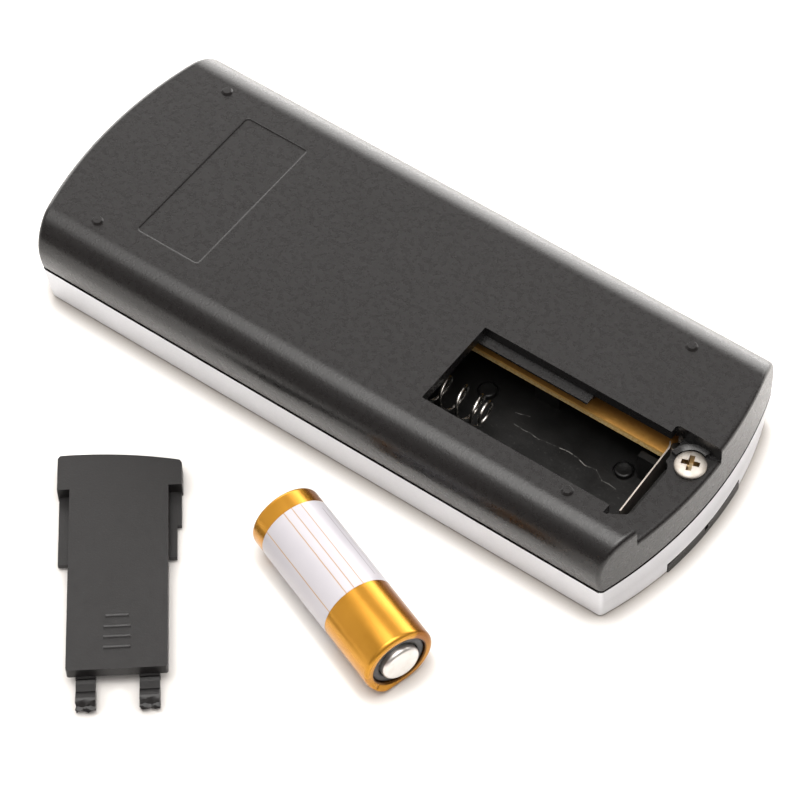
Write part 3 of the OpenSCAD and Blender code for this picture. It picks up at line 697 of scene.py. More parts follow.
def pillow(name, o, r, zlow, mats=(), k=5, n1=5, n2=14, cols=24):
    """Closed solid with the cover's outer form, moved in by o, its end edges rolled with radius r."""
    side, top, other = cover_profile(o, zlow, n1, n2, cols)
    prof = side + top + other
    R = END_R - o
    verts, faces = [], []
    edge = {}
    for sx in (1, -1):
        for i, (y, z, ny, nz) in enumerate(prof):
            yc, zc = y - r * ny, z - r * nz
            xc = END_C + math.sqrt((R - r) ** 2 - yc * yc)
            ph = math.asin(yc / (R - r))
            e = Vector((math.cos(ph), math.sin(ph), 0))
            n = Vector((0, ny, nz))
            om = math.acos(max(-1, min(1, n.dot(e))))
            for q in range(k + 1):
                t = q / k
                d = (math.sin((1 - t) * om) * n + math.sin(t * om) * e) / math.sin(om)
                p = Vector((xc, yc, zc)) + r * d
                edge[sx, i, q] = len(verts)
                verts.append((sx * p.x, p.y, p.z))
    n = len(prof)
    for i in range(n - 1):
        faces.append((edge[-1, i, 0], edge[1, i, 0], edge[1, i + 1, 0], edge[-1, i + 1, 0]))
        for q in range(k):
            faces.append((edge[1, i, q], edge[1, i, q + 1], edge[1, i + 1, q + 1], edge[1, i + 1, q]))
            faces.append((edge[-1, i, q], edge[-1, i + 1, q], edge[-1, i + 1, q + 1], edge[-1, i, q + 1]))
    ns = len(side)
    for sx in (1, -1):
        rows = []
        for i in range(ns):
            ya, z = verts[edge[sx, i, k]][1], verts[edge[sx, i, k]][2]
            row = []
            for j in range(cols + 1):
                if j == 0:
                    row.append(edge[sx, i, k])
                elif j == cols:
                    row.append(edge[sx, n - 1 - i, k])
                elif i == ns - 1:
                    row.append(edge[sx, ns - 1 + j, k])
                else:
                    y = ya * (1 - 2 * j / cols)
                    row.append(len(verts))
                    verts.append((sx * (END_C + math.sqrt(R * R - y * y)), y, z))
            rows.append(row)
        for a, b in zip(rows, rows[1:]):
            for j in range(cols):
                q = (a[j], a[j + 1], b[j + 1], b[j])
                faces.append(q if sx < 0 else q[::-1])
        base = rows[0]
        edge["base", sx] = base
    # bottom lid
    lid = list(edge["base", 1]) + [edge[-1, n - 1, q] for q in range(k, -1, -1)][:0]
    right = list(edge["base", 1])          # +Y to -Y at the +X end
    left = list(reversed(edge["base", -1]))  # -Y to +Y at the -X end
    loop = [edge[1, 0, q] for q in range(k)] + right + [edge[1, n - 1, q] for q in range(k - 1, -1, -1)]
    loop += [edge[-1, n - 1, q] for q in range(k)] + left + [edge[-1, 0, q] for q in range(k - 1, -1, -1)]
    faces.append(tuple(loop))
    ob = new_obj(name, verts, faces, mats)
    clean(ob)
    return ob


def arc_end(y, o=0.0, sx=1):
    return sx * (END_C + math.sqrt((END_R - o) ** 2 - y * y))


def plan_outline(o, half, n=40, rx=None, ro=None):
    """Plan outline between the two bowed ends, moved in by o."""
    out = []
    for i in range(n + 1):
        y = -half + 2 * half * i / n
        out.append((arc_end(y, o), y))
    for i in range(n + 1):
        y = half - 2 * half * i / n
        out.append((arc_end(y, o if ro is None else ro, -1), y))
    return out


def end_block(x0, y0, y1, z0, z1, o, n=24):
    """Block from x0 to the +X end wall moved in by o."""
    pts = [(x0, y1), (x0, y0)] + [(arc_end(y0 + (y1 - y0) * i / n, o), y0 + (y1 - y0) * i / n) for i in range(n + 1)]
    return prism(pts, z0, z1)


# ------------------------------------------------------------------ rear cover
def make_cover():
    cov = pillow("cover_shell", 0.0, 0.75, COVER_Z - 0.9, [MAT["cover"]])
    # trim to the joint line
    boolean(cov, block((-60, -30, -5), (60, 30, COVER_Z)))
    # label recess and raised dots
    lv, vs, fs = [(-0.21, 0.09), (-0.06, 0.0), (0.0, -0.24), (0.3, -1.44)], [], []
    for dz, inn in lv:
        vs += [(x, y, CASE_H + dz) for x, y in rounded((-35.23 + inn, -12.27 + inn), (-24.75 - inn, 12.15 - inn), 0.5 - inn * 0.8, 6)]
    k = len(vs) // len(lv)
    fs = [tuple(range(k - 1, -1, -1)), tuple(range((len(lv) - 1) * k, len(lv) * k))]
    for c in range(len(lv) - 1):
        fs += [(c * k + q, c * k + (q + 1) % k, (c + 1) * k + (q + 1) % k, (c + 1) * k + q) for q in range(k)]
    pane = new_obj("tool", vs, fs, [])
    clean(pane)
    boolean(cov, pane)
    dots = []
    for x, y in ((-40.5, 14.28), (-40.5, -14.28), (37.6, 14.28), (37.6, -14.28)):
        up = Matrix.Translation((x, y, CASE_H)) @ Matrix.Rotation(-math.pi / 2, 4, "Y")
        dots.append(place(lathe("tool", [(-0.5, 0.0), (-0.5, 0.84), (0.0, 0.84), (0.33, 0.60), (0.34, 0.0)], [MAT["cover"]], 36, False), up))
    boolean(cov, pillow("tool", WALL, 0.2, COVER_Z - 1.2, k=2))
    # shelf block and the side walls of the head recess, shaped by the cutters below
    boolean(cov, end_block(43.25, -15.35, 3.6, SHELF_Z - 1.6, CEIL + 0.1, 0.7), "UNION")
    boolean(cov, block((42.4, -15.30, SHELF_Z - 1.6), (43.6, -11.35, SHELF_Z)), "UNION")
    # ledges under the long edges of the opening
    lean = [(-0.22, 13.36), (2.4, 13.36), (2.4, 13.82), (-0.22, 13.69)]
    vs = [(x, y, z) for x in (BX0 - 1.2, 30.9) for y, z in lean]
    shelf = new_obj("tool", vs, [(0, 1, 2, 3), (7, 6, 5, 4)] + [(q, q + 4, (q + 1) % 4 + 4, (q + 1) % 4) for q in range(4)], [])
    clean(shelf)
    boolean(cov, shelf, "UNION")
    boolean(cov, block((BX0 - 1.2, BY1 + 0.05, 12.96), (30.88, 2.38, CEIL + 0.2)), "UNION")
    boolean(cov, block((BX0 - 1.2, BY0 - 1.2, 12.95), (30.9, -12.1, 13.72)), "UNION")
    boolean(cov, block((BX0 - 1.2, BY0 - 1.18, 12.96), (30.88, BY0 - 0.05, CEIL + 0.2)), "UNION")
    # collar
    n = 28
    a0, a1 = math.radians(68), math.radians(176)
    vs, fs = [], []
    for i in range(n + 1):
        a = a0 + (a1 - a0) * i / n
        lean = 0.11 * math.exp(-((math.degrees(a) - 142) / 20) ** 2)
        for r, z in ((2.27, SHELF_Z - 0.4), (2.27, 13.50 - lean), (2.72, 13.57 - 0.3 * lean), (3.1, 13.58), (3.1, SHELF_Z - 0.4)):
            x, y = SCREW[0] + r * math.cos(a), SCREW[1] + r * math.sin(a)
            y = min(y, 2.7)
            vs.append((min(x, arc_end(y, 0.6)), y, z))
    fs = [(0, 1, 2, 3, 4), tuple(5 * n + q for q in (4, 3, 2, 1, 0))]
    for i in range(n):
        fs += [(5 * i + q, 5 * (i + 1) + q, 5 * (i + 1) + (q + 1) % 5, 5 * i + (q + 1) % 5) for q in range(5)]
    collar = new_obj("tool", vs, fs, [])
    clean(collar)
    # openings
    boolean(cov, prism(rounded((BX0, BY0), (BX1 + 0.6, BY1), 0.12, 2), CEIL - 0.06, CASE_H + 2))
    head = [(BX1, -14.35), (60, -14.35), (60, 2.6), (BX1 + 0.45, 2.6), (BX1 + 0.13, 2.47), (BX1, 2.15)]
    boolean(cov, prism(head, SHELF_Z, CASE_H + 2))
    # rolled outer edge of the shelf
    q, sec = 0.7, [(-0.6, SHELF_Z - 0.7)]
    sec += [(q - q * math.cos(math.radians(a)), SHELF_Z - q + q * math.sin(math.radians(a))) for a in range(0, 91, 15)]
    sec += [(q, SHELF_Z + 0.8), (-0.6, SHELF_Z + 0.8)]
    vs, fs, m = [], [], len(sec)
    for i in range(25):
        y = -14.33 + 16.91 * i / 24
        vs += [(arc_end(y, dd), y, zz) for dd, zz in sec]
    for i in range(24):
        fs += [(i * m + a, i * m + (a + 1) % m, (i + 1) * m + (a + 1) % m, (i + 1) * m + a) for a in range(m)]
    fs += [tuple(range(m)), tuple(24 * m + a for a in range(m - 1, -1, -1))]
    roll = new_obj("tool", vs, fs, [])
    clean(roll)
    boolean(cov, roll)
    slot = [(42.3, -12.75), (43.2, -12.5), (44.2, -11.9), (45.0, -11.3), (45.25, -10.8), (45.3, -10.3), (45.3, -3.6), (45.22, -2.9), (45.0, -2.3), (44.7, -1.85), (44.2, -1.5), (44.2, 2.9), (42.3, 2.9)]
    boolean(cov, prism(slot, SHELF_Z - 2.2, SHELF_Z + 0.4))
    boolean(cov, collar, "UNION")
    boolean(cov, cyl(SCREW[0], SCREW[1], 1.25, 3, SHELF_Z + 0.3, 32))
    # hooks at the far end and the tongue behind the joint
    for s in (-1, 1):
        boolean(cov, block((-47.9, s * 8 - 2, 4), (-46.9, s * 8 + 2, CEIL + 0.3)), "UNION")
        boolean(cov, block((-48.5, s * 8 - 2, 4.2), (-47.8, s * 8 + 2, 4.9)), "UNION")
    clean(cov)
    dissolve(cov, 0.2)
    cov.data.materials.clear()
    cov.data.materials.append(MAT["cover"])
    smooth(cov, 24)
    bevel(cov, 0.14, 3, 30, close=1e-7)
    # tongue: its own ring, inside the front shell's lip
    outer = plan_outline(0.85, 39.9 / 2 - 0.85, 48)
    inner = plan_outline(WALL - 0.02, 39.9 / 2 - WALL + 0.02, 48)
    tongue = prism(outer, 5.42, COVER_Z + 0.25, [MAT["inner"]], "cover_tongue")
    boolean(tongue, prism(inner, 4, 9))
    boolean(tongue, cyl(SCREW[0], SCREW[1], 2.8, 3, 9, 40))
    clean(tongue)
    smooth(tongue, 30)
    pips = joined(dots)
    pips["in_mm"] = True
    pips.name = "cover_pips"
    smooth(pips, 24)
    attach(cov, "root")
    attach(tongue, "root")
    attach(pips, "root")
    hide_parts("rear_cover")
    return cov


make_cover()


# ------------------------------------------------------------------ front shell
def corner_ring(z, inset, o=0.0, k=4, n=40):
    """Outline of the silver shell at height z: the ends bow more towards the key face."""
    t = max(0.0, z) / SHELL_Z
    half = 39.9 / 2 - 0.62 * (1 - t) - inset
    R0 = 51.0 + (END_R - 51.0) * t
    cx = CASE_L / 2 - R0
    R = R0 - inset
    rc = 0.75
    yc = half - rc
    xc = cx + math.sqrt((R - rc) ** 2 - yc * yc)
    ph = math.atan2(yc, xc - cx)
    right = []
    for i in range(k + 1):
        a = -math.pi / 2 + (math.pi / 2 - ph) * i / k
        right.append((xc + rc * math.cos(a), -yc + rc * math.sin(a)))
    for i in range(1, n):
        a = -ph + 2 * ph * i / n
        right.append((cx + R * math.cos(a), R * math.sin(a)))
    for i in range(k + 1):
        a = ph + (math.pi / 2 - ph) * i / k
        right.append((xc + rc * math.cos(a), yc + rc * math.sin(a)))
    left = [(-x, -y) for x, y in right]
    return right + left


def panel_outline(o=0.0, n=40):
    half = 17.3 - o
    out = []
    for i in range(n + 1):
        y = -half + 2 * half * i / n
        out.append((arc_end(y, 2 + o), y))
    for i in range(n + 1):
        y = half - 2 * half * i / n
        out.append((arc_end(y, 3.4 + o, -1), y))
    return out


TRIGGER = (-29.0, 0.0)
SMALL = [(-13, 7.6), (-13, -7.6), (-1, 7.6), (-1, -7.6)]
POSTS = [(-37.5, 12), (-37.5, -12), (30, 12.2)]
LED_X = -42.2


def key_openings(z0, z1, mats=()):
    tools = [cyl(TRIGGER[0], TRIGGER[1], 6.75, z0, z1, 72, mats), cyl(LED_X, 0, 1.6, z0, z1, 40, mats)]
    for x, y in SMALL:
        tools.append(prism(rounded((x - 4.25, y - 2.95), (x + 4.25, y + 2.95), 1.25, 6), z0, z1, mats))
    return tools


def make_shell():
    r = 0.5
    levels = [(r * (1 - math.cos(a)), r * (1 - math.sin(a))) for a in (math.radians(15 * i) for i in range(7))]
    levels += [(z, 0.0) for z in (2.0, 3.6, 5.2)] + [(SHELL_Z, 0.0)]
    verts, faces = [], []
    rings = []
    for z, ins in levels:
        pts = corner_ring(z, ins)
        rings.append(range(len(verts), len(verts) + len(pts)))
        verts += [(x, y, z) for x, y in pts]
    for a, b in zip(rings, rings[1:]):
        m = len(a)
        faces += [(a[i], a[(i + 1) % m], b[(i + 1) % m], b[i]) for i in range(m)]
    faces.append(tuple(reversed(rings[0])))
    faces.append(tuple(rings[-1]))
    sh = new_obj("front_case_shell", verts, faces, [MAT["silver"], MAT["inside"]])
    sh.data.polygons[len(faces) - 1].material_index = 1
    clean(sh)
    blk = [MAT["inside"]]
    boolean(sh, prism(plan_outline(WALL, 39.9 / 2 - WALL), 3.0, 12, blk))
    boolean(sh, prism(plan_outline(0.8, 39.9 / 2 - 0.8), 5.4, 12, blk))
    boolean(sh, prism(panel_outline(), -1, 1.2, blk))
    boolean(sh, block((45, -8.5, -1), (60, 8.3, 1.93), blk))
    for t in key_openings(-1, 5, blk):
        boolean(sh, t)
    for s in (-1, 1):
        boolean(sh, block((-48.8, s * 8 - 2.3, 3.9), (-47.4, s * 8 + 2.3, 5.38), blk))
    for x0, x1, zz in ((-70, 46.5, 6.37), (46.5, 70, 6.58)):
        rim = block((x0, -40, zz), (x1, 40, 12), blk)
        boolean(rim, prism([(x, y) for x, y in corner_ring(SHELL_Z, 0.40)], 5, 14, blk))
        boolean(sh, rim)
    # walls and posts inside
    for a, b in (
        ((7.3, -13.75, 2.8), (42.3, -12.75, 11.2)),
        ((7.32, -13.73, 2.8), (8.5, 0.9, 12)),
        ((42.6, -13.75, 2.8), (45.2, -11.45, 11.2)),
        ((44.3, -13.73, 2.8), (45.18, 0.4, 11.18)),
        ((38.8, 0.1, 2.8), (41.8, 1.1, 8)),
        ((20, 3.2, 2.8), (24, 4.4, 8)),
    ):
        boolean(sh, block(a, b, blk), "UNION")
    for x, y in POSTS:
        boolean(sh, cyl(x, y, 2.2, 2.8, 8, 36, blk), "UNION")
        boolean(sh, cyl(x, y, 0.82, 4, 12, 24, blk))
    n = 44
    boss = []
    for i in range(n):
        a = 2 * math.pi * i / n
        x, y = SCREW[0] + 2.7 * math.cos(a), SCREW[1] + 2.7 * math.sin(a)
        boss.append((min(x, arc_end(y, 0.9)), y))
    boolean(sh, prism(boss, 2.8, SHELF_Z - 1.6, blk), "UNION")
    boolean(sh, cyl(SCREW[0], SCREW[1], 1.1, 4, 14, 32, blk))
    # ejector marks on the compartment floor
    for x, y in ((36.7, 0.05), (14.2, 0.4)):
        up = Matrix.Translation((x, y, 3.0)) @ Matrix.Rotation(-math.pi / 2, 4, "Y")
        g = lathe("tool", [(-0.4, 0.0), (-0.4, 1.45), (-0.25, 1.52), (0.3, 1.56), (0.3, 0.0)], blk, 44, False)
        place(g, up)
        boolean(sh, g)
        g = lathe("tool", [(-0.9, 0.0), (-0.9, 1.28), (0.10, 1.28), (0.28, 1.2), (0.38, 1.02), (0.36, 0.8), (0.30, 0.5), (0.28, 0.0)], blk, 44, False)
        place(g, up)
        boolean(sh, g, "UNION")
    clean(sh)
    dissolve(sh, 0.15)
    smooth(sh, 24)
    bevel(sh, 0.08, 2, 30)
    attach(sh, "root")
    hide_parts("front_shell")


make_shell()


# ------------------------------------------------------------------ face panel and keys
def make_panel():
    p = prism(panel_outline(0.08), 0.0, 1.18, [MAT["panel"]], "face_plate")
    tab = []
    for i in range(25):
        y = -8.4 + 16.6 * i / 24
        tab.append((arc_end(y, 0.02), y))
    inner = [(arc_end(y, 1.2) - 3, y) for x, y in reversed(tab)]
    boolean(p, prism(tab + inner, 0.0, 1.16), "UNION")
    lip = [q for q in tab if q[1] <= 7.6] + [(arc_end(7.9, 0.02), 7.9), (arc_end(8.2, 0.4), 8.2), (48.2, 8.2), (48.2, -8.4)]
    boolean(p, prism(lip, 0.5, 1.74), "UNION")
    for t in key_openings(-1, 5):
        boolean(p, t)
    boolean(p, block((49.4, -0.65, 0.95), (60, 0.05, 3)))
    # shallow moulded field round the keys
    boolean(p, prism(rounded((-21, -15.2), (5.2, 15.2), 2.4, 8), -1, 0.18))
    ring = cyl(TRIGGER[0], TRIGGER[1], 9.2, -1, 0.18, 72)
    boolean(p, ring)
    clean(p)
    dissolve(p, 0.2)
    p.data.materials.clear()
    p.data.materials.append(MAT["panel"])
    smooth(p, 24)
    bevel(p, 0.10, 3, 30)
    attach(p, "root")
    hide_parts("face_panel")


make_panel()


def dished_key(name, outline, flange, dish, mat, centre, marks, mark_mat):
    """Key cap seen from below: rounded rim, slightly dished face, raised generic mark."""
    cx, cy = centre
    rings = []

    def scaled(pts, k):
        return [(cx + (x - cx) * k, cy + (y - cy) * k) for x, y in pts]

    ext = max(math.hypot(x - cx, y - cy) for x, y in outline)
    lv = []
    lv.append((flange, 3.7))
    lv.append((flange, 3.06))
    lv.append((outline, 3.05))
    lv.append((outline, 0.65))
    for a in (20, 45, 70, 90):
        t = math.radians(a)
        lv.append((scaled(outline, 1 - 0.4 / ext * (1 - math.cos(t))), 0.65 - 0.4 * math.sin(t)))
    for k, dz in ((0.8, 0.35), (0.6, 0.62), (0.4, 0.83), (0.2, 0.95)):
        lv.append((scaled(outline, k), 0.25 + dish * dz))
    verts, faces = [], []
    for pts, z in lv:
        rings.append(range(len(verts), len(verts) + len(pts)))
        verts += [(x, y, z) for x, y in pts]
    m = len(outline)
    for a, b in zip(rings, rings[1:]):
        faces += [(a[i], a[(i + 1) % m], b[(i + 1) % m], b[i]) for i in range(m)]
    faces.append(tuple(rings[0]))
    c = len(verts)
    verts.append((cx, cy, 0.25 + dish))
    faces += [(rings[-1][i], rings[-1][(i + 1) % m], c) for i in range(m)]
    ob = new_obj(name, verts, faces, [mat, mark_mat])
    clean(ob)
    for i, mk in enumerate(marks):
        boolean(ob, mk, "UNION")
    clean(ob)
    smooth(ob, 30)
    return ob


def bar(cx, cy, w, h, mats):
    return prism(rounded((cx - w / 2, cy - h / 2), (cx + w / 2, cy + h / 2), min(w, h) * 0.45, 4), 0.2, 0.9, mats)


def make_keys():
    n = 72
    wp = [MAT["white_print"]]
    circ = [(TRIGGER[0] + 6.5 * math.cos(2 * math.pi * i / n), TRIGGER[1] + 6.5 * math.sin(2 * math.pi * i / n)) for i in range(n)]
    fl = [(TRIGGER[0] + 7.7 * math.cos(2 * math.pi * i / n), TRIGGER[1] + 7.7 * math.sin(2 * math.pi * i / n)) for i in range(n)]
    ringo = cyl(TRIGGER[0], 0, 1.5, 0.24, 0.9, 40, wp)
    boolean(ringo, cyl(TRIGGER[0], 0, 1.05, 0, 2, 40, wp))
    k = dished_key("trigger_cap", circ, fl, 0.5, MAT["red"], TRIGGER, [ringo], MAT["white_print"])
    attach(k, "trigger_key_unit"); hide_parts("trigger_key")
    marks = {
        0: lambda x, y: [bar(x, y, 2.4, 0.5, wp)],
        1: lambda x, y: [bar(x, y + 0.5, 2.4, 0.45, wp), bar(x, y - 0.5, 2.4, 0.45, wp)],
        2: lambda x, y: [bar(x, y, 2.2, 0.5, wp), bar(x, y, 0.5, 2.2, wp)],
        3: lambda x, y: [bar(x, y, 2.2, 0.5, wp)],
    }
    names = ["channel", "group", "plus", "minus"]
    for i, (x, y) in enumerate(SMALL):
        o = rounded((x - 4, y - 2.7), (x + 4, y + 2.7), 1.0, 7)
        f = rounded((x - 5.1, y - 3.8), (x + 5.1, y + 3.8), 2.1, 7)
        if i == 0:
            mk = [cyl(x - 0.9, y, 0.35, 0.2, 0.9, 24, wp)] + [cyl(x + 0.9, y, 0.35, 0.2, 0.9, 24, wp)]
        else:
            mk = marks[i](x, y)
        k = dished_key(names[i] + "_cap", o, f, 0.25, MAT["grey"], (x, y), mk, MAT["white_print"])
        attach(k, names[i] + "_key_unit"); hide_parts(names[i] + "_key")


make_keys()


# ------------------------------------------------------------------ battery door
DOOR = Matrix.Translation((1.61, -63.57, 3.565)) @ Matrix.Rotation(math.radians(128.75), 4, "Z") @ Matrix.Rotation(math.radians(1.66), 4, "Y")


def make_door():
    m = [MAT["door"]]
    R = END_R
    cx, cw = -R + 35.0, 5.9
    n = 20
    endpts = [(-8.4 + 16.68 * i / n) for i in range(n + 1)]
    head = [(29.25, 8.28), (29.25, -8.4)]
    for w in endpts:
        u = cx + math.sqrt(R * R - (w - cw) ** 2)
        for side, edge in ((1, 8.28), (-1, -8.4)):
            e = 0.48 - abs(edge - w)
            if e > 0:
                u -= 0.48 - math.sqrt(max(0.0, 0.48 ** 2 - e * e))
        head.append((u, w))
        if w in (endpts[0], endpts[-2]):
            for q in (0.33, 0.66):
                ww = w + 0.834 * q
                u2 = cx + math.sqrt(R * R - (ww - cw) ** 2)
                edge = -8.4 if w == endpts[0] else 8.28
                e = max(0.0, 0.48 - abs(edge - ww))
                head.append((u2 - 0.48 + math.sqrt(max(0.0, 0.48 ** 2 - e * e)), ww))
    d = prism(rounded((0, -6.6), (29.75, 6.6), 0.35, 3), -1.6, 0.0, m, "battery_door_moulding")
    boolean(d, prism(head, -2.55, 0.0, m), "UNION")
    for a, b in (
        ((18.1, 5.9, -2.45), (29.45, 8.12, -1.75)),
        ((18.5, -7.65, -2.45), (29.45, -5.9, -1.75)),
        ((23.7, -8.25, -2.43), (29.45, -7.6, -1.77)),
        ((18.12, 5.92, -1.8), (29.45, 6.55, -1.5)),
        ((18.52, -6.55, -1.8), (29.45, -5.92, -1.5)),
    ):
        boolean(d, block(a, b, m), "UNION")
    for w0, w1 in ((2.85, 5.45), (-5.45, -2.8)):
        boolean(d, block((-0.3, w0, -2.7), (2.5, w1, -1.5), m), "UNION")
        # side view of the hook: neck with two steps, rounded bump, rough broken-off end
        toe = [(-0.2, -1.86), (-0.9, -1.95), (-1.0, -1.80), (-2.05, -1.86), (-2.15, -2.02), (-2.3, -1.80)]
        toe += [(-3.05 + 0.75 * math.cos(math.radians(q)), -2.25 + 0.62 * math.sin(math.radians(q))) for q in range(80, 170, 15)]
        toe += [(-3.95, -2.5), (-4.35, -2.62), (-4.45, -2.95), (-4.2, -3.2), (-3.3, -3.3), (-3.1, -3.45), (-1.6, -3.45), (-1.3, -2.72), (-0.2, -2.72)]
        k, cuts = len(toe), 9
        v, f = [], []
        for c in range(cuts):
            w = w0 + 0.02 + (w1 - w0 - 0.04) * c / (cuts - 1)
            for q, (u, z) in enumerate(toe):
                out = max(0.0, (-2.9 - u) / 1.6)
                du = 0.16 * out * math.sin(5.1 * c + 1.7 * q + 3.3 * w0)
                dz = 0.12 * out * math.sin(3.7 * c + 2.9 * q + w0)
                dw = 0.10 * out * math.sin(2.3 * q) * (1 if c == 0 else -1 if c == cuts - 1 else 0)
                v.append((u + du, w + dw, z + dz))
        f = [tuple(range(k)), tuple((cuts - 1) * k + q for q in range(k - 1, -1, -1))]
        for c in range(cuts - 1):
            f += [(c * k + q, (c + 1) * k + q, (c + 1) * k + (q + 1) % k, c * k + (q + 1) % k) for q in range(k)]
        hk = new_obj("tool", v, f, m)
        clean(hk)
        boolean(d, hk, "UNION")
    # grip ridges: low and rounded, the last one a little shorter
    for u, half in ((3.35, 1.75), (5.0, 1.75), (6.6, 1.75), (8.3, 1.5)):
        sec = [(-0.27, -0.15)] + [(-0.27 + 0.54 * q / 8, 0.19 * math.sin(math.pi * q / 8) ** 1.1) for q in range(9)] + [(0.27, -0.15)]
        v = [(u + a, ww, z) for ww in (-half, half) for a, z in sec]
        k = len(sec)
        f = [tuple(range(k - 1, -1, -1)), tuple(range(k, 2 * k))] + [(q, (q + 1) % k, k + (q + 1) % k, k + q) for q in range(k)]
        rg = new_obj("tool", v, f, m)
        clean(rg)
        boolean(d, rg, "UNION")
    boolean(d, cyl(33.35, 5.07, 3.25, -3, -1.4, 48, m))
    boolean(d, block((29.65, 2.6, -3), (33.35, 7.5, -1.4), m))
    clean(d)
    dissolve(d, 0.2)
    d.data.materials.clear()
    d.data.materials.append(MAT["door"])
    smooth(d, 26)
    place(d, DOOR)
    bevel(d, 0.13, 3, 34, close=1e-7)
    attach(d, "loose_door")
    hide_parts("battery_door")


make_door()


# ------------------------------------------------------------------ battery
CELL = Matrix.Translation(CELL_C) @ Matrix.Rotation(CELL_A, 4, "Z")


def arc_pts(cs, cr, r, a0, a1, n):
    return [(cs + r * math.cos(math.radians(a0 + (a1 - a0) * i / n)), cr + r * math.sin(math.radians(a0 + (a1 - a0) * i / n))) for i in range(n + 1)]


def make_battery():
    H = CELL_H
    # steel jacket with both rims rolled in
    pr = []
    pr += arc_pts(-H + 0.5, 5.12 - 0.5, 0.5, 180, 90, 8)
    pr += [(-6.0, 5.12), (0.0, 5.12), (6.0, 5.12)]
    pr += arc_pts(H - 0.6, 5.12 - 0.6, 0.6, 90, 0, 9)
    pr += arc_pts(H - 0.22, 4.13, 0.22, 0, -90, 5)
    pr += [(H - 0.32, 3.92), (H - 0.34, 4.35), (H - 0.7, 4.72), (0, 4.78), (-H + 0.7, 4.72), (-H + 0.34, 4.3), (-H + 0.30, 3.9)]
    pr += arc_pts(-H + 0.25, 4.0, 0.25, 270, 180, 5)
    j = lathe("battery_sleeve", pr, [MAT["gold"]], 144)
    # the shrunk film stands off in a wrinkled lip at one side of the raised end, with a slit in it
    for v in j.data.vertices:
        r, a = math.hypot(v.co.y, v.co.z), math.degrees(math.atan2(v.co.z, v.co.y)) % 360
        t = (v.co.x - (H - 0.75)) / 0.75
        if t > 0 and r > 3.86:
            t = min(1.0, t)
            w = math.exp(-((a - 232) / 24) ** 2)
            k = t * min(1.0, max(0.0, (r - 3.95) / 0.9))
            v.co.x += 0.62 * w * k + 0.05 * k * math.sin(math.radians(a * 9)) * w - 0.34 * k * math.exp(-((a - 218) / 1.6) ** 2)
            q = 1 + (0.03 * w * t + 0.004 * t * math.sin(math.radians(a * 5 + 40))) * (r > 4.6)
            v.co.y, v.co.z = v.co.y * q, v.co.z * q
    place(j, CELL)
    smooth(j, 40)
    # label film: overlaps itself in one thin step
    n = 160
    lab_v, lab_f = [], []
    s0, s1 = -11.1, 4.05
    stops = [s0, s0 + 0.02, -7, -3, 1, s1 - 0.02, s1]
    rad = [5.123, 5.15, 5.15, 5.15, 5.15, 5.15, 5.123]
    for k, (s, r) in enumerate(zip(stops, rad)):
        for i in range(n + 1):
            a = math.radians(-95 + 360 * i / n)
            rr = r - 0.012 * (1 - i / n) if 0 < k < 6 else r
            lab_v.append((s, rr * math.cos(a), rr * math.sin(a)))
    w = n + 1
    for k in range(len(stops) - 1):
        for i in range(n):
            lab_f.append((k * w + i, k * w + i + 1, (k + 1) * w + i + 1, (k + 1) * w + i))
    lab = new_obj("battery_film", lab_v, lab_f, [MAT["label"]])
    clean(lab, recalc=True)
    place(lab, CELL)
    md = lab.modifiers.new("thick", "SOLIDIFY")
    md.thickness = 0.02 * MM
    md.offset = -1
    smooth(lab, 40)
    # insulating ring, slightly crowned
    ins = lathe("battery_ring", [(H - 0.95, 3.93), (H - 0.45, 3.93), (H - 0.36, 3.86), (H - 0.29, 3.6), (H - 0.27, 3.3), (H - 0.32, 3.02), (H - 0.42, 2.93), (H - 0.95, 2.93)], [MAT["insul"]], 96)
    place(ins, CELL)
    smooth(ins, 40)
    cap = lathe("battery_nub", [(H - 0.95, 0.0), (H - 0.95, 2.75), (H + 0.10, 2.75), (H + 0.28, 2.7), (H + 0.45, 2.58), (H + 0.57, 2.42), (H + 0.63, 2.2), (H + 0.64, 1.9), (H + 0.645, 1.2), (H + 0.65, 0.0)], [MAT["nub"]], 96, False)
    place(cap, CELL)
    smooth(cap, 40)
    neg = lathe("battery_base", [(-H + 0.62, 0.0), (-H + 0.62, 4.3), (-H + 0.42, 4.35), (-H + 0.34, 4.2), (-H + 0.32, 3.8), (-H + 0.36, 3.6), (-H + 0.30, 3.3), (-H + 0.26, 1.6), (-H + 0.25, 0.0)], [MAT["steel"]], 96, False)
    place(neg, CELL)
    smooth(neg, 40)
    for ob, node, slot in ((j, "battery_jacket", "gold_foil"), (lab, "battery_label", "label_paper"), (ins, "battery_insulator", "insulator_plastic"), (cap, "battery_positive_cap", "cell_steel"), (neg, "battery_negative_end", "cell_steel")):
        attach(ob, "loose_battery")
        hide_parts(node)


MAT["nub"] = metal("nub_nickel", (0.73, 0.715, 0.69), (0.30, 0.42), 0.04, 0.3, 900, tint=(0.62, 0.585, 0.54))
make_battery()


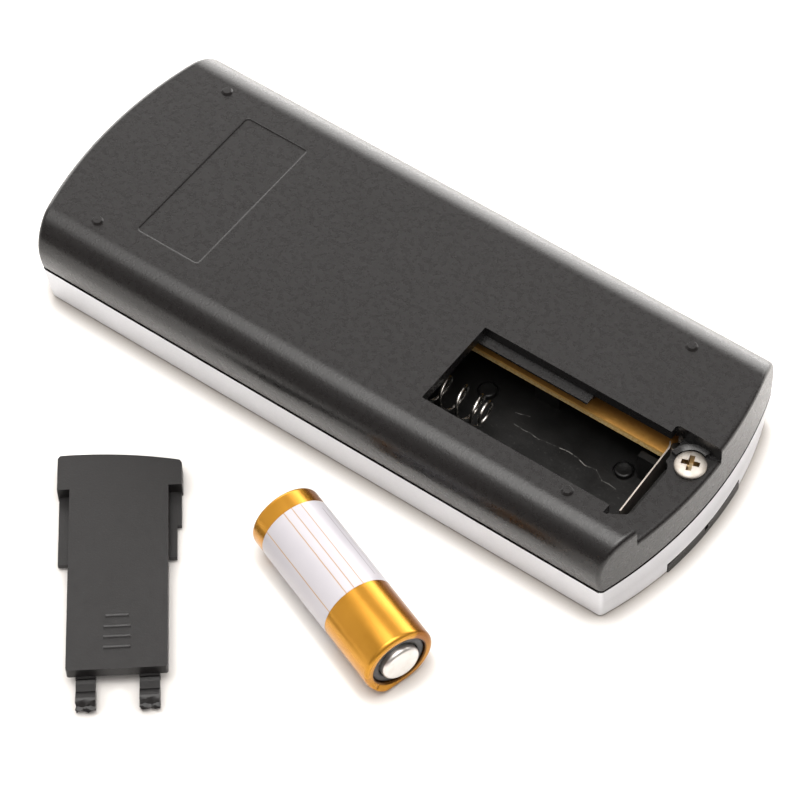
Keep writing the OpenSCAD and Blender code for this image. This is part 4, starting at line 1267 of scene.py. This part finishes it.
# ------------------------------------------------------------------ screw, spring, contacts
def make_screw():
    z = SHELF_Z
    # turned head: low crown with a flat top and a rounded rim
    pr = [(z - 7.9, 0.0), (z - 7.9, 0.55), (z - 6.9, 1.02)]
    q = z - 6.8
    while q < z - 0.7:
        pr += [(q, 1.08), (q + 0.25, 0.86)]
        q += 0.5
    pr += [(z - 0.25, 1.02), (z + 0.0, 1.05), (z + 0.0, 1.90)]
    pr += arc_pts(z + 0.2, 1.97, 0.2, 180, 90, 5)
    pr += [(z + 0.32, 2.17), (z + 0.42, 2.15), (z + 0.51, 2.07), (z + 0.60, 1.90), (z + 0.68, 1.65), (z + 0.74, 1.35), (z + 0.78, 1.0), (z + 0.80, 0.0)]
    s = lathe("case_screw_turned", pr, [MAT["screw"], MAT["recess"]], 80, False)
    place(s, Matrix.Translation((SCREW[0], SCREW[1], 0)) @ Matrix.Rotation(-math.pi / 2, 4, "Y"))
    for turn in (19, 109):
        a = math.radians(turn)
        L0, L1, w0, w1 = 1.52, 0.66, 0.40, 0.24
        vs = []
        for zz, L, w in ((z + 1.4, L0 + 0.12, w0 + 0.05), (z - 0.15, L1, w1)):
            for sx, sy in ((-1, -1), (1, -1), (1, 1), (-1, 1)):
                x, y = sx * L, sy * w
                vs.append((SCREW[0] + x * math.cos(a) - y * math.sin(a), SCREW[1] + x * math.sin(a) + y * math.cos(a), zz))
        f = [(0, 1, 2, 3), (7, 6, 5, 4), (0, 4, 5, 1), (1, 5, 6, 2), (2, 6, 7, 3), (3, 7, 4, 0)]
        t = new_obj("tool", vs, f, [MAT["recess"]])
        clean(t)
        boolean(s, t)
    clean(s)
    smooth(s, 30)
    bevel(s, 0.035, 2, 30)
    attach(s, "root"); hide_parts("case_screw")


MAT["recess"] = metal("screw_recess", (0.40, 0.31, 0.19), (0.26, 0.4), 0.3, 0.5)
make_screw()


def spring_x(t):
    return 9.08 + 0.55 * min(t, 0.8) + 2.68 * max(0, min(t - 0.8, 2.95)) + max(0, t - 3.75)


def tube(name, pts, r, mats, m=12):
    """Round wire along a list of points, both ends closed."""
    P = [Vector(p) for p in pts]
    T = [(P[min(i + 1, len(P) - 1)] - P[max(i - 1, 0)]).normalized() for i in range(len(P))]
    nrm = T[0].orthogonal().normalized()
    verts, faces = [], []
    for i, (p, t) in enumerate(zip(P, T)):
        nrm = (nrm - t * nrm.dot(t)).normalized()
        b = t.cross(nrm)
        rr = r * (0.82 if i in (0, len(P) - 1) else 1)
        verts += [tuple(p + rr * (math.cos(2 * math.pi * j / m) * nrm + math.sin(2 * math.pi * j / m) * b)) for j in range(m)]
    for i in range(len(P) - 1):
        faces += [(i * m + j, i * m + (j + 1) % m, (i + 1) * m + (j + 1) % m, (i + 1) * m + j) for j in range(m)]
    faces += [tuple(range(m - 1, -1, -1)), tuple((len(P) - 1) * m + j for j in range(m))]
    ob = new_obj(name, verts, faces, mats)
    clean(ob)
    smooth(ob, 50)
    return ob


def make_spring():
    n = 5 * 56
    pts = []
    for i in range(n + 1):
        t = 5 * i / n
        a = math.radians(200 + 360 * t)
        r = 2.2 - (0.6 * (t - 4) if t > 4 else 0)
        pts.append((spring_x(t), -5.9 + r * math.cos(a), 7.8 + r * math.sin(a)))
    s = tube("contact_spring", pts, 0.24, [MAT["spring"]], 14)
    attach(s, "root"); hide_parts("negative_spring")


MAT["spring"] = metal("spring_wire", (0.55, 0.53, 0.50), (0.16, 0.26), 0.08, 0.05, 1800)
make_spring()


def make_contacts():
    m = [MAT["strip"]]
    plan = [(43.9, -11.35), (43.62, -4.5), (43.42, 0.6), (43.26, 1.1), (42.9, 1.62), (42.76, 1.5), (43.08, 1.0), (43.22, 0.5), (43.42, -4.5), (43.70, -11.35)]
    p = prism(plan, 4, 12.8, m, "positive_strip")
    foot = prism(rounded((42.4, 1.1), (42.95, 3.9), 0.2, 3), 9.22, 9.6, m)
    boolean(p, foot, "UNION")
    boolean(p, cyl(42.67, 3.1, 0.55, 9.2, 9.75, 24, m), "UNION")
    clean(p)
    smooth(p, 30)
    bevel(p, 0.05, 2, 30)
    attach(p, "root"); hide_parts("positive_contact")
    q = block((8.52, -9.3, 4.2), (8.82, -1.3, 12.4), m, "negative_plate")
    for a, b in (((7.2, 1.2, 9.22), (7.5, 3.4, 12.4)), ((7.2, -1.6, 12.1), (8.8, -1.32, 12.38)), ((7.22, -1.6, 12.1), (7.5, 3.38, 12.38))):
        boolean(q, block(a, b, m), "UNION")
    clean(q)
    smooth(q, 30)
    bevel(q, 0.05, 2, 30)
    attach(q, "root"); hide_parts("negative_contact")


make_contacts()

# ------------------------------------------------------------------ carried-over CAD nodes
for node, mat, w in (
    ("circuit_board", "board", 0.22),
    ("tact_switches", "tin", 0.08),
    ("encoder_chip", "chip", 0.06),
    ("resonator_can", "can", 0.12),
    ("crystal", "can", 0.15),
    ("transistors", "chip", 0.05),
    ("chip_resistors", "chip", 0.05),
    ("chip_capacitors", "ceramic", 0.06),
    ("reservoir_capacitor", "can", 0.12),
    ("trimmer", "blue", 0.08),
    ("antenna_wire", "copper", 0.0),
    ("indicator_led", "lamp", 0.0),
    ("indicator_window", "window", 0.05),
    ("board_screws", "steel", 0.05),
    ("trigger_plunger", "grey", 0.1),
    ("channel_plunger", "grey", 0.1),
    ("group_plunger", "grey", 0.1),
    ("plus_plunger", "grey", 0.1),
    ("minus_plunger", "grey", 0.1),
    ("battery_cells", "tin", 0.15),
):
    cad_hard(node, MAT[mat], w)


# ------------------------------------------------------------------ floor and light
WORLD = {"top": 6.15, "back": 5.6, "room": 0.28}


def make_stage():
    me = bpy.data.meshes.new("floor")
    s = 1.6
    me.from_pydata([(-s, -s, 0), (s, -s, 0), (s, s, 0), (-s, s, 0)], [], [(0, 1, 2, 3)])
    ob = bpy.data.objects.new("floor", me)
    col.objects.link(ob)
    m = Nodes("paper_white")
    xyz = m.sep()
    # painted shade: from about 7 cm in front of the case the floor colour is mixed up to 65 % towards grey
    near = m.math("SUBTRACT", m.math("MULTIPLY", xyz[0], 0.58), m.math("MULTIPLY", xyz[1], 0.814))
    paper = m.ramp(m.noise(40, 3, 0.5), [(0.3, (0.895, 0.882, 0.862)), (0.7, (0.905, 0.892, 0.874))])
    # painted contact shadow: the floor colour darkens towards warm brown where ambient occlusion finds objects within
    # 2.8 mm, weaker under the battery
    ao = m.new("ShaderNodeAmbientOcclusion", samples=12)
    ao.inputs["Distance"].default_value = 0.0028
    painted_contact_shadow = m.math("POWER", ao.outputs["AO"], 2.2)
    painted_contact_shadow = m.math("MAXIMUM", painted_contact_shadow, m.maprange(xyz[1], -0.0240, -0.0268, 0.0, 0.62))
    shade = m.mix(painted_contact_shadow, (0.25, 0.222, 0.195), paper)
    m.color(m.mix(m.maprange(near, 0.074, 0.13, 0.0, 0.65, smooth=True), shade, (0.28, 0.27, 0.26)))
    m.rough(m.maprange(m.noise(200, 3, 0.5), 0.3, 0.7, 0.32, 0.40))
    m.normal(m.bump(m.noise(900, 3, 0.6), 0.04, 0.0001))
    # painted light: the floor glows faintly (emission 0.03), lifting its shadows
    m.set(Specular_IOR_Level=0.4, Emission_Strength=0.03)
    me.materials.append(m.mat)

    # background light: falls straight down on the floor behind the case only
    li = bpy.data.lights.new("backdrop_light", "AREA")
    li.shape = "RECTANGLE"
    li.size, li.size_y = 0.84, 0.40
    li.spread = math.radians(20)
    li.energy = 5.95
    lo = bpy.data.objects.new("backdrop_light", li)
    lo.location = (-0.33, 0.275, 0.25)
    col.objects.link(lo)

    w = bpy.data.worlds.new("world")
    w.use_nodes = True
    t = w.node_tree
    t.nodes.clear()
    out = t.nodes.new("ShaderNodeOutputWorld")
    bg = t.nodes.new("ShaderNodeBackground")
    co = t.nodes.new("ShaderNodeTexCoord").outputs["Generated"]

    def toward(d):
        n = t.nodes.new("ShaderNodeVectorMath")
        n.operation = "DOT_PRODUCT"
        t.links.new(co, n.inputs[0])
        n.inputs[1].default_value = Vector(d).normalized()
        return n.outputs["Value"]

    def step(v, a, b, lo, hi):
        n = t.nodes.new("ShaderNodeMapRange")
        n.interpolation_type = "SMOOTHSTEP"
        t.links.new(v, n.inputs["Value"])
        for key, val in (("From Min", a), ("From Max", b), ("To Min", lo), ("To Max", hi)):
            n.inputs[key].default_value = val
        return n.outputs["Result"]

    def join(op, a, b):
        n = t.nodes.new("ShaderNodeMath")
        n.operation = op
        for q, v in enumerate((a, b)):
            if isinstance(v, (int, float)):
                n.inputs[q].default_value = v
            else:
                t.links.new(v, n.inputs[q])
        return n.outputs[0]

    # wide soft box overhead, a bright pale wall behind the object, a dim warm room elsewhere
    def ramp(v, a, b, lo, hi):
        n = t.nodes.new("ShaderNodeMapRange")
        t.links.new(v, n.inputs["Value"])
        for key, val in (("From Min", a), ("From Max", b), ("To Min", lo), ("To Max", hi)):
            n.inputs[key].default_value = val
        return n.outputs["Result"]

    x, y, z = toward((1, 0, 0)), toward((0, 1, 0)), toward((0, 0, 1))
    box = join("MULTIPLY", step(y, -0.50, -0.26, 0, 1), step(y, 0.32, 0.16, 0, 1))
    box = join("MULTIPLY", box, join("MULTIPLY", step(x, -0.56, -0.26, 0, 1), step(x, 0.52, 0.36, 0, 1)))
    box = join("MULTIPLY", box, step(z, 0.3, 0.45, 0, 1))
    fill = join("MULTIPLY", step(y, 0.64, 0.42, 0, 0.6), join("MULTIPLY", step(x, -0.46, -0.22, 0, 1), step(z, 0.5, 0.7, 0, 1)))
    left = join("MULTIPLY", step(x, -0.54, -0.70, 0, 0.6), join("MULTIPLY", step(y, 0.30, 0.0, 0, 1), step(z, 0.0, 0.12, 0, 1)))
    top = join("ADD", join("MULTIPLY", box, WORLD["top"]), join("ADD", fill, left))
    flat = join("SQRT", join("SUBTRACT", 1.001, join("MULTIPLY", z, z)), 0.0)
    azim = step(join("DIVIDE", toward((-0.42, 0.90, 0.0)), flat), 0.45, 0.85, 0, 1)
    wall = join("MULTIPLY", azim, ramp(z, 0.745, 0.42, 0, 1))
    back = join("MULTIPLY", wall, WORLD["back"])
    t.links.new(join("ADD", top, back), bg.inputs["Strength"])
    bg.inputs["Color"].default_value = (1.0, 0.985, 0.965, 1)
    room = t.nodes.new("ShaderNodeBackground")
    room.inputs["Color"].default_value = (1.0, 0.87, 0.82, 1)
    room.inputs["Strength"].default_value = WORLD["room"]
    both = t.nodes.new("ShaderNodeAddShader")
    t.links.new(bg.outputs[0], both.inputs[0])
    t.links.new(room.outputs[0], both.inputs[1])
    t.links.new(both.outputs[0], out.inputs[0])
    scene.world = w
    scene.view_settings.view_transform = "Standard"


make_stage()

to_metres()
bpy.context.view_layer.update()
